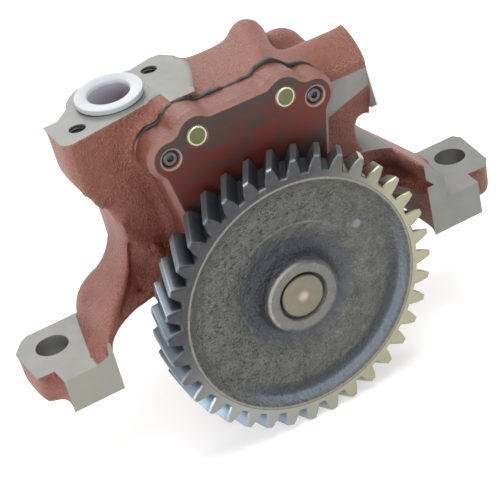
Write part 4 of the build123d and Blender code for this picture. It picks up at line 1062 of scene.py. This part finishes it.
def plastic_material():
    """Thin moulded white polyethylene: milky rim, a cup darker with depth: the bore showing through, and
    painted shade.
    """
    material, tree, place, normal = start("moulded_white_polyethylene")
    x, y, z = add(tree, "ShaderNodeSeparateXYZ", {0: place}).outputs
    from_outlet = distance_from(tree, place, 0, 1, OUTLET)
    from_cup = distance_from(tree, place, 0, 1, (OUTLET[0] - 0.9, OUTLET[1] + 0.5))
    from_inlet = distance_from(tree, place, 1, 2, INLET)
    # the two cups
    in_outlet = add(tree, "ShaderNodeMath", {
        0: add(tree, "ShaderNodeMath", {0: from_cup, 1: 8.9}, operation="LESS_THAN"),
        1: add(tree, "ShaderNodeMath", {0: z, 1: 82.4}, operation="LESS_THAN"),
    }, operation="MULTIPLY")
    in_inlet = add(tree, "ShaderNodeMath", {
        0: add(tree, "ShaderNodeMath", {0: x, 1: 40.0}, operation="GREATER_THAN"),
        1: add(tree, "ShaderNodeMath", {0: from_inlet, 1: 11.0}, operation="LESS_THAN"),
    }, operation="MULTIPLY")
    cup = add(tree, "ShaderNodeMath", {0: in_outlet, 1: in_inlet}, operation="MAXIMUM")
    # the cup darkens with depth: the bore showing through, and painted shade
    depth = add(tree, "ShaderNodeMapRange", {
        "Value": z, "From Min": 82.0, "From Max": 73.0,
    }, interpolation_type="SMOOTHSTEP")
    cup_depth_shade = add(tree, "ShaderNodeMix", {
        0: depth,
        6: linear("#aaa4ae"),
        7: linear("#7d737d"),
    }, data_type="RGBA")
    colour = add(tree, "ShaderNodeMix", {0: cup, 6: linear("#b8bcbf"), 7: cup_depth_shade}, data_type="RGBA")
    # the tab outside the inlet is whiter, and the ledge under the outlet's rim lies in its shade
    tab = add(tree, "ShaderNodeMath", {0: x, 1: 60.2}, operation="GREATER_THAN")
    off = add(tree, "ShaderNodeMath", {
        0: add(tree, "ShaderNodeMath", {0: z, 1: 79.6}, operation="SUBTRACT"),
    }, operation="ABSOLUTE")
    ledge = add(tree, "ShaderNodeMath", {
        0: add(tree, "ShaderNodeMath", {0: off, 1: 0.51}, operation="LESS_THAN"),
        1: add(tree, "ShaderNodeMath", {0: from_outlet, 1: 11.2}, operation="GREATER_THAN"),
    }, operation="MULTIPLY")
    seat = add(tree, "ShaderNodeMath", {
        0: ledge,
        1: add(tree, "ShaderNodeMath", {0: x, 1: 0.0}, operation="LESS_THAN"),
    }, operation="MULTIPLY")
    cloud = add(tree, "ShaderNodeTexNoise", {
        "Vector": place, "Scale": 1 / 5.0, "Detail": 3.0, "Roughness": 0.5,
    })
    sink = add(tree, "ShaderNodeTexNoise", {
        "Vector": place, "Scale": 1 / 3.0, "Detail": 2.0, "Roughness": 0.5,
    })
    colour = tinted(tree, colour, [(tab, 1.0, "#f6f7f8"), (cloud, 0.25, "#b1b5ba"), (seat, 1.0, "#6a6f6d")])
    surface = skin(tree, colour, 0.38, 0.0, sink, 0.05)
    add(tree, "ShaderNodeOutputMaterial", {"Surface": surface})
    return material


def paper_material():
    """Matt white paper sweep, lifted to plain white towards its far edge without lighting the pump."""
    material, tree, place, normal = start("white_paper_floor")
    path = add(tree, "ShaderNodeLightPath")
    seen = most(tree, [path.outputs[kind] for kind in SEEN_BY])
    paper = add(tree, "ShaderNodeBsdfDiffuse", {"Color": linear("#e4e4e4")})
    far = add(tree, "ShaderNodeVectorMath", {0: place}, operation="LENGTH")
    glow = add(tree, "ShaderNodeMix", {
        0: add(tree, "ShaderNodeMapRange", {
            "Value": far, "From Min": 250.0, "From Max": 800.0,
        }, interpolation_type="SMOOTHSTEP"),
        2: 0.45, 3: 1.0,
    })
    lift = add(tree, "ShaderNodeEmission", {"Color": (1, 1, 1, 1), "Strength": glow})
    lifted = add(tree, "ShaderNodeAddShader", {0: paper, 1: lift})
    surface = add(tree, "ShaderNodeMixShader", {0: seen, 1: paper, 2: lifted})
    add(tree, "ShaderNodeOutputMaterial", {"Surface": surface})
    return material


class PumpSettings(bpy.types.PropertyGroup):
    """Sizes and colours a user would change."""

    # primer colour in the hollows: its own deeper red together with the painted shade laid there
    primer_deep_and_shaded: FloatVectorProperty(
        name="Primer in hollows",
        description="Linear colour of the primer where it lies thick",
        subtype="COLOR", size=4, min=0, max=1,
        default=linear("#6c2d1b"),
    )
    # primer colour in the open, where no painted shade is laid
    primer_dusty_and_lit: FloatVectorProperty(
        name="Primer in the open",
        description="Linear colour of the primer on open skin",
        subtype="COLOR", size=4, min=0, max=1,
        default=linear("#8a5546"),
    )
    casting_cell: FloatProperty(
        name="Casting cell",
        description="Width of the faces of the rounded casting, in millimetres",
        min=0.9, max=3.0,
        default=1.15,
    )
    camera_lens: FloatProperty(
        name="Lens",
        description="Focal length on a 36 mm sensor",
        unit="CAMERA",
        default=103.46,
    )
    key_power: FloatProperty(
        name="Key light",
        description="Power of the large top light; the others follow it",
        unit="POWER",
        default=6.3,
    )


class PUMP_OT_casting(bpy.types.Operator):
    """Rounds off the castings and dresses the body, the cover and the joint"""

    bl_idname = "pump.casting"
    bl_label = "Casting"

    def execute(self, context):
        settings = context.scene.pump_dressing
        body = even_copy("cast_body", "pump_body", settings.casting_cell)
        relax(body, body_machined, first=22, fill=30, last=16)
        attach(body, "housing")
        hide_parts("pump_body")
        give([body, "pump_body"], casting_material(settings))
        cover = even_copy("cast_cover", "front_cover", cell=0.72)
        relax(cover, cover_machined, first=5, fill=0, last=0)
        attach(cover, "housing")
        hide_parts("front_cover")
        give([cover, "front_cover"], cover_material(settings))
        bead = paste_bead("joint_paste", "joint_gasket")
        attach(bead, "housing")
        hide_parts("joint_gasket")
        give([bead, "joint_gasket"], paste_material(settings))
        return {"FINISHED"}


class PUMP_OT_gears(bpy.types.Operator):
    """Dresses the gears, the shaft and the keys"""

    bl_idname = "pump.gears"
    bl_label = "Gears and shaft"

    def execute(self, context):
        gear = new_piece("helical_drive_gear", *drive_gear_surface())
        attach(gear, "drive_rotor")
        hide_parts("drive_gear")
        give([gear, "drive_gear"], gear_material())
        # crowned end of the shaft with a shallow dip in its centre, inside the counterbore of the hub
        crown = [
            (0, -3.1), (9.15, -3.1), (9.25, -2.9), (9.25, -1.0), (9.1, -0.7), (8.6, -0.5), (6.0, -0.4),
            (3.0, -0.35), (1.7, -0.37), (1.2, -0.5), (0.5, -0.8), (0, -0.85),
        ]
        end = new_piece("shaft_end", *turned(crown, [SHAFT], on_gear, 72), 50.0)
        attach(end, "drive_rotor")
        give([end], shaft_end_material())
        # ground steel of the shaft: smooth, a warm dull grey
        give(
            ["drive_shaft", "driven_gear_axle"],
            plain_metal("ground_shaft_steel", "#6f6a62", "#8b857b", 0.33),
        )
        # ground rotor steel: brighter and cooler
        give(
            ["drive_gear_key", "rotor_key", "pumping_gear", "driven_gear", "spacer_ring", "relief_plunger"],
            plain_metal("ground_steel", "#8f9092", "#a9aaac", 0.28),
        )
        # turned bearing bronze: warm brown yellow
        give(
            ["driven_gear_bushing", "cover_bushing", "body_bushing"],
            plain_metal("turned_bronze", "#9c6b33", "#b98748", 0.3),
        )
        return {"FINISHED"}


class PUMP_OT_hardware(bpy.types.Operator):
    """Dresses the bolts, the pins, the plugs and the valve"""

    bl_idname = "pump.hardware"
    bl_label = "Hardware"

    def execute(self, context):
        # hardened and ground pin steel: nearly black under oil
        dark = plain_metal("dark_ground_steel", "#4b4b4d", "#6a6a6c", 0.35, 0.8)
        # end of each bolt: a dished disc inside a raised ring
        bolt = [
            (0, -0.6), (3.9, -0.6), (3.95, 0.1), (3.7, 0.4), (3.3, 0.4), (3.0, 0.2), (2.6, 0.02),
            (1.5, -0.06), (0, -0.1),
        ]
        ends = new_piece("bolt_ends", *turned(bolt, BOLTS, on_cover), 40.0)
        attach(ends, "housing")
        give([ends, "cover_bolts", "bolt_washers"], zinc_material())
        # outlet cap: a thick rolled rim over a thin cup
        cap = [
            (0, -10.0), (8.9, -10.0), (9.85, -8.0), (9.85, -1.4), (13.9, -1.4), (14.0, -1.2), (14.0, -0.2),
            (13.8, 0.0), (11.4, 0.08), (13.3, 0.2), (13.6, 0.4), (13.6, 2.05), (13.4, 2.25), (9.3, 2.25),
            (8.8, 2.05), (8.4, 1.5), (8.2, 0.5), (7.7, -8.0), (7.2, -8.5), (0, -8.5),
        ]
        rim = new_piece("outlet_cap_moulding", *turned(cap, [OUTLET], on_outlet, 72), 30.0)
        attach(rim, "outlet_cap")
        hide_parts("outlet_plug")
        # end of each dowel: a chamfered pin with a small extraction hole
        pin = [
            (0, -2.6), (2.95, -2.6), (2.95, -1.0), (2.5, -0.6), (1.45, -0.6), (1.25, -0.8), (1.2, -2.4),
            (0, -2.45),
        ]
        tips = new_piece("dowel_tips", *turned(pin, DOWELS, on_cover, 36), 30.0)
        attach(tips, "housing")
        give([tips, "dowel_pins"], dark)
        # threads cut in the iron: dull dark grey, wet with oil
        for index, hole in enumerate(THREADED_HOLES):
            thread = new_piece("flange_thread_%d" % (index + 1), *thread_surface(hole), 30.0)
            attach(thread, "housing")
            give([thread], plain_metal("cut_iron_thread", "#474744", "#5b5b57", 0.6, 0.2))
        # oil hardened spring wire: blue black
        give(["relief_spring"], plain_metal("oil_hardened_wire", "#3c3c3e", "#55555a", 0.35))
        # plated steel plugs: bright and slightly warm
        give(
            ["cup_plug", "relief_screw_plug", "gallery_plug", "relief_seal"],
            plain_metal("plated_steel", "#9d9e9c", "#b9bab8", 0.3),
        )
        give([rim, "outlet_plug", "inlet_plug"], plastic_material())
        return {"FINISHED"}


def paper_floor(low):
    """Square sheet of paper under the pump, at its lowest level in metres."""
    reach = 3.0
    corners = [(-reach, -reach, low), (reach, -reach, low), (reach, reach, low), (-reach, reach, low)]
    mesh = bpy.data.meshes.new("floor")
    mesh.from_pydata(corners, [], [(0, 1, 2, 3)])
    floor = bpy.data.objects.new("floor", mesh)
    bpy.context.scene.collection.objects.link(floor)
    give([floor], paper_material())


def white_world(scene):
    """Even sky: soft light on the pump, plain white where it is seen or mirrored."""
    world = bpy.data.worlds.new("studio")
    scene.world = world
    world.use_nodes = True
    tree = world.node_tree
    tree.nodes.clear()
    path = add(tree, "ShaderNodeLightPath")
    seen = most(tree, [path.outputs[kind] for kind in SEEN_BY])
    strength = add(tree, "ShaderNodeMix", {0: seen, 2: 0.55, 3: 1.0})
    sky = add(tree, "ShaderNodeBackground", {"Color": (1, 1, 1, 1), "Strength": strength})
    add(tree, "ShaderNodeOutputWorld", {"Surface": sky})


def placed(place, side, up, away):
    """Matrix that puts an object at a place, its own axes along three unit directions."""
    turn = Matrix((tuple(side), tuple(up), tuple(away))).transposed().to_4x4()
    return Matrix.Translation(place) @ turn


def area_light(name, place, target, size, power):
    """Soft rectangular light looking at a point."""
    data = bpy.data.lights.new(name, "AREA")
    data.shape = "RECTANGLE"
    data.size, data.size_y = size
    data.energy = power
    light = bpy.data.objects.new(name, data)
    bpy.context.scene.collection.objects.link(light)
    away = np.array(place, float) - np.array(target, float)
    away /= np.linalg.norm(away)
    side = np.cross((0, 1, 0.01), away)
    side /= np.linalg.norm(side)
    light.matrix_world = placed(place, side, np.cross(away, side), away)


def studio_camera(scene, lens):
    """Camera whose right and lower sides point as the constants say, squared to each other."""
    camera = bpy.data.cameras.new("camera")
    camera.lens = lens
    camera.sensor_width = 36.0
    camera.clip_start = 0.01
    holder = bpy.data.objects.new("camera", camera)
    scene.collection.objects.link(holder)
    right = np.array(CAMERA_RIGHT)
    down = np.array(CAMERA_DOWN)
    right /= np.linalg.norm(right)
    down -= right * (down @ right)
    down /= np.linalg.norm(down)
    holder.matrix_world = placed(CAMERA_PLACE, right, -down, -np.cross(right, down))
    scene.camera = holder


class PUMP_OT_studio(bpy.types.Operator):
    """Adds the white floor, the lights and the camera"""

    bl_idname = "pump.studio"
    bl_label = "Studio"

    def execute(self, context):
        scene = context.scene
        settings = scene.pump_dressing
        paper_floor(START_BOUNDS[0][2])
        white_world(scene)
        for name, place, target, size, share in LIGHTS:
            area_light(name, place, target, size, settings.key_power * share)
        studio_camera(scene, settings.camera_lens)
        scene.view_settings.view_transform = "Standard"
        return {"FINISHED"}


class PUMP_PT_panel(bpy.types.Panel):
    """Lists the steps of the dressing"""

    bl_idname = "PUMP_PT_panel"
    bl_label = "Oil pump"
    bl_space_type = "VIEW_3D"
    bl_region_type = "UI"
    bl_category = "Oil pump"

    def draw(self, context):
        """Buttons of the steps, then the settings."""
        column = self.layout.column()
        for step in STEPS:
            column.operator(step.bl_idname)
        for key in PumpSettings.__annotations__:
            column.prop(context.scene.pump_dressing, key)


STEPS = (PUMP_OT_casting, PUMP_OT_gears, PUMP_OT_hardware, PUMP_OT_studio)
CLASSES = (PumpSettings, *STEPS, PUMP_PT_panel)


def register():
    """Adds the classes and the settings."""
    for item in CLASSES:
        bpy.utils.register_class(item)
    bpy.types.Scene.pump_dressing = PointerProperty(type=PumpSettings)


def unregister():
    """Takes the settings and the classes away again."""
    del bpy.types.Scene.pump_dressing
    for item in reversed(CLASSES):
        bpy.utils.unregister_class(item)


def main():
    """Runs every step."""
    register()
    bpy.ops.pump.casting()
    bpy.ops.pump.gears()
    bpy.ops.pump.hardware()
    bpy.ops.pump.studio()


if __name__ == "__main__":
    main()
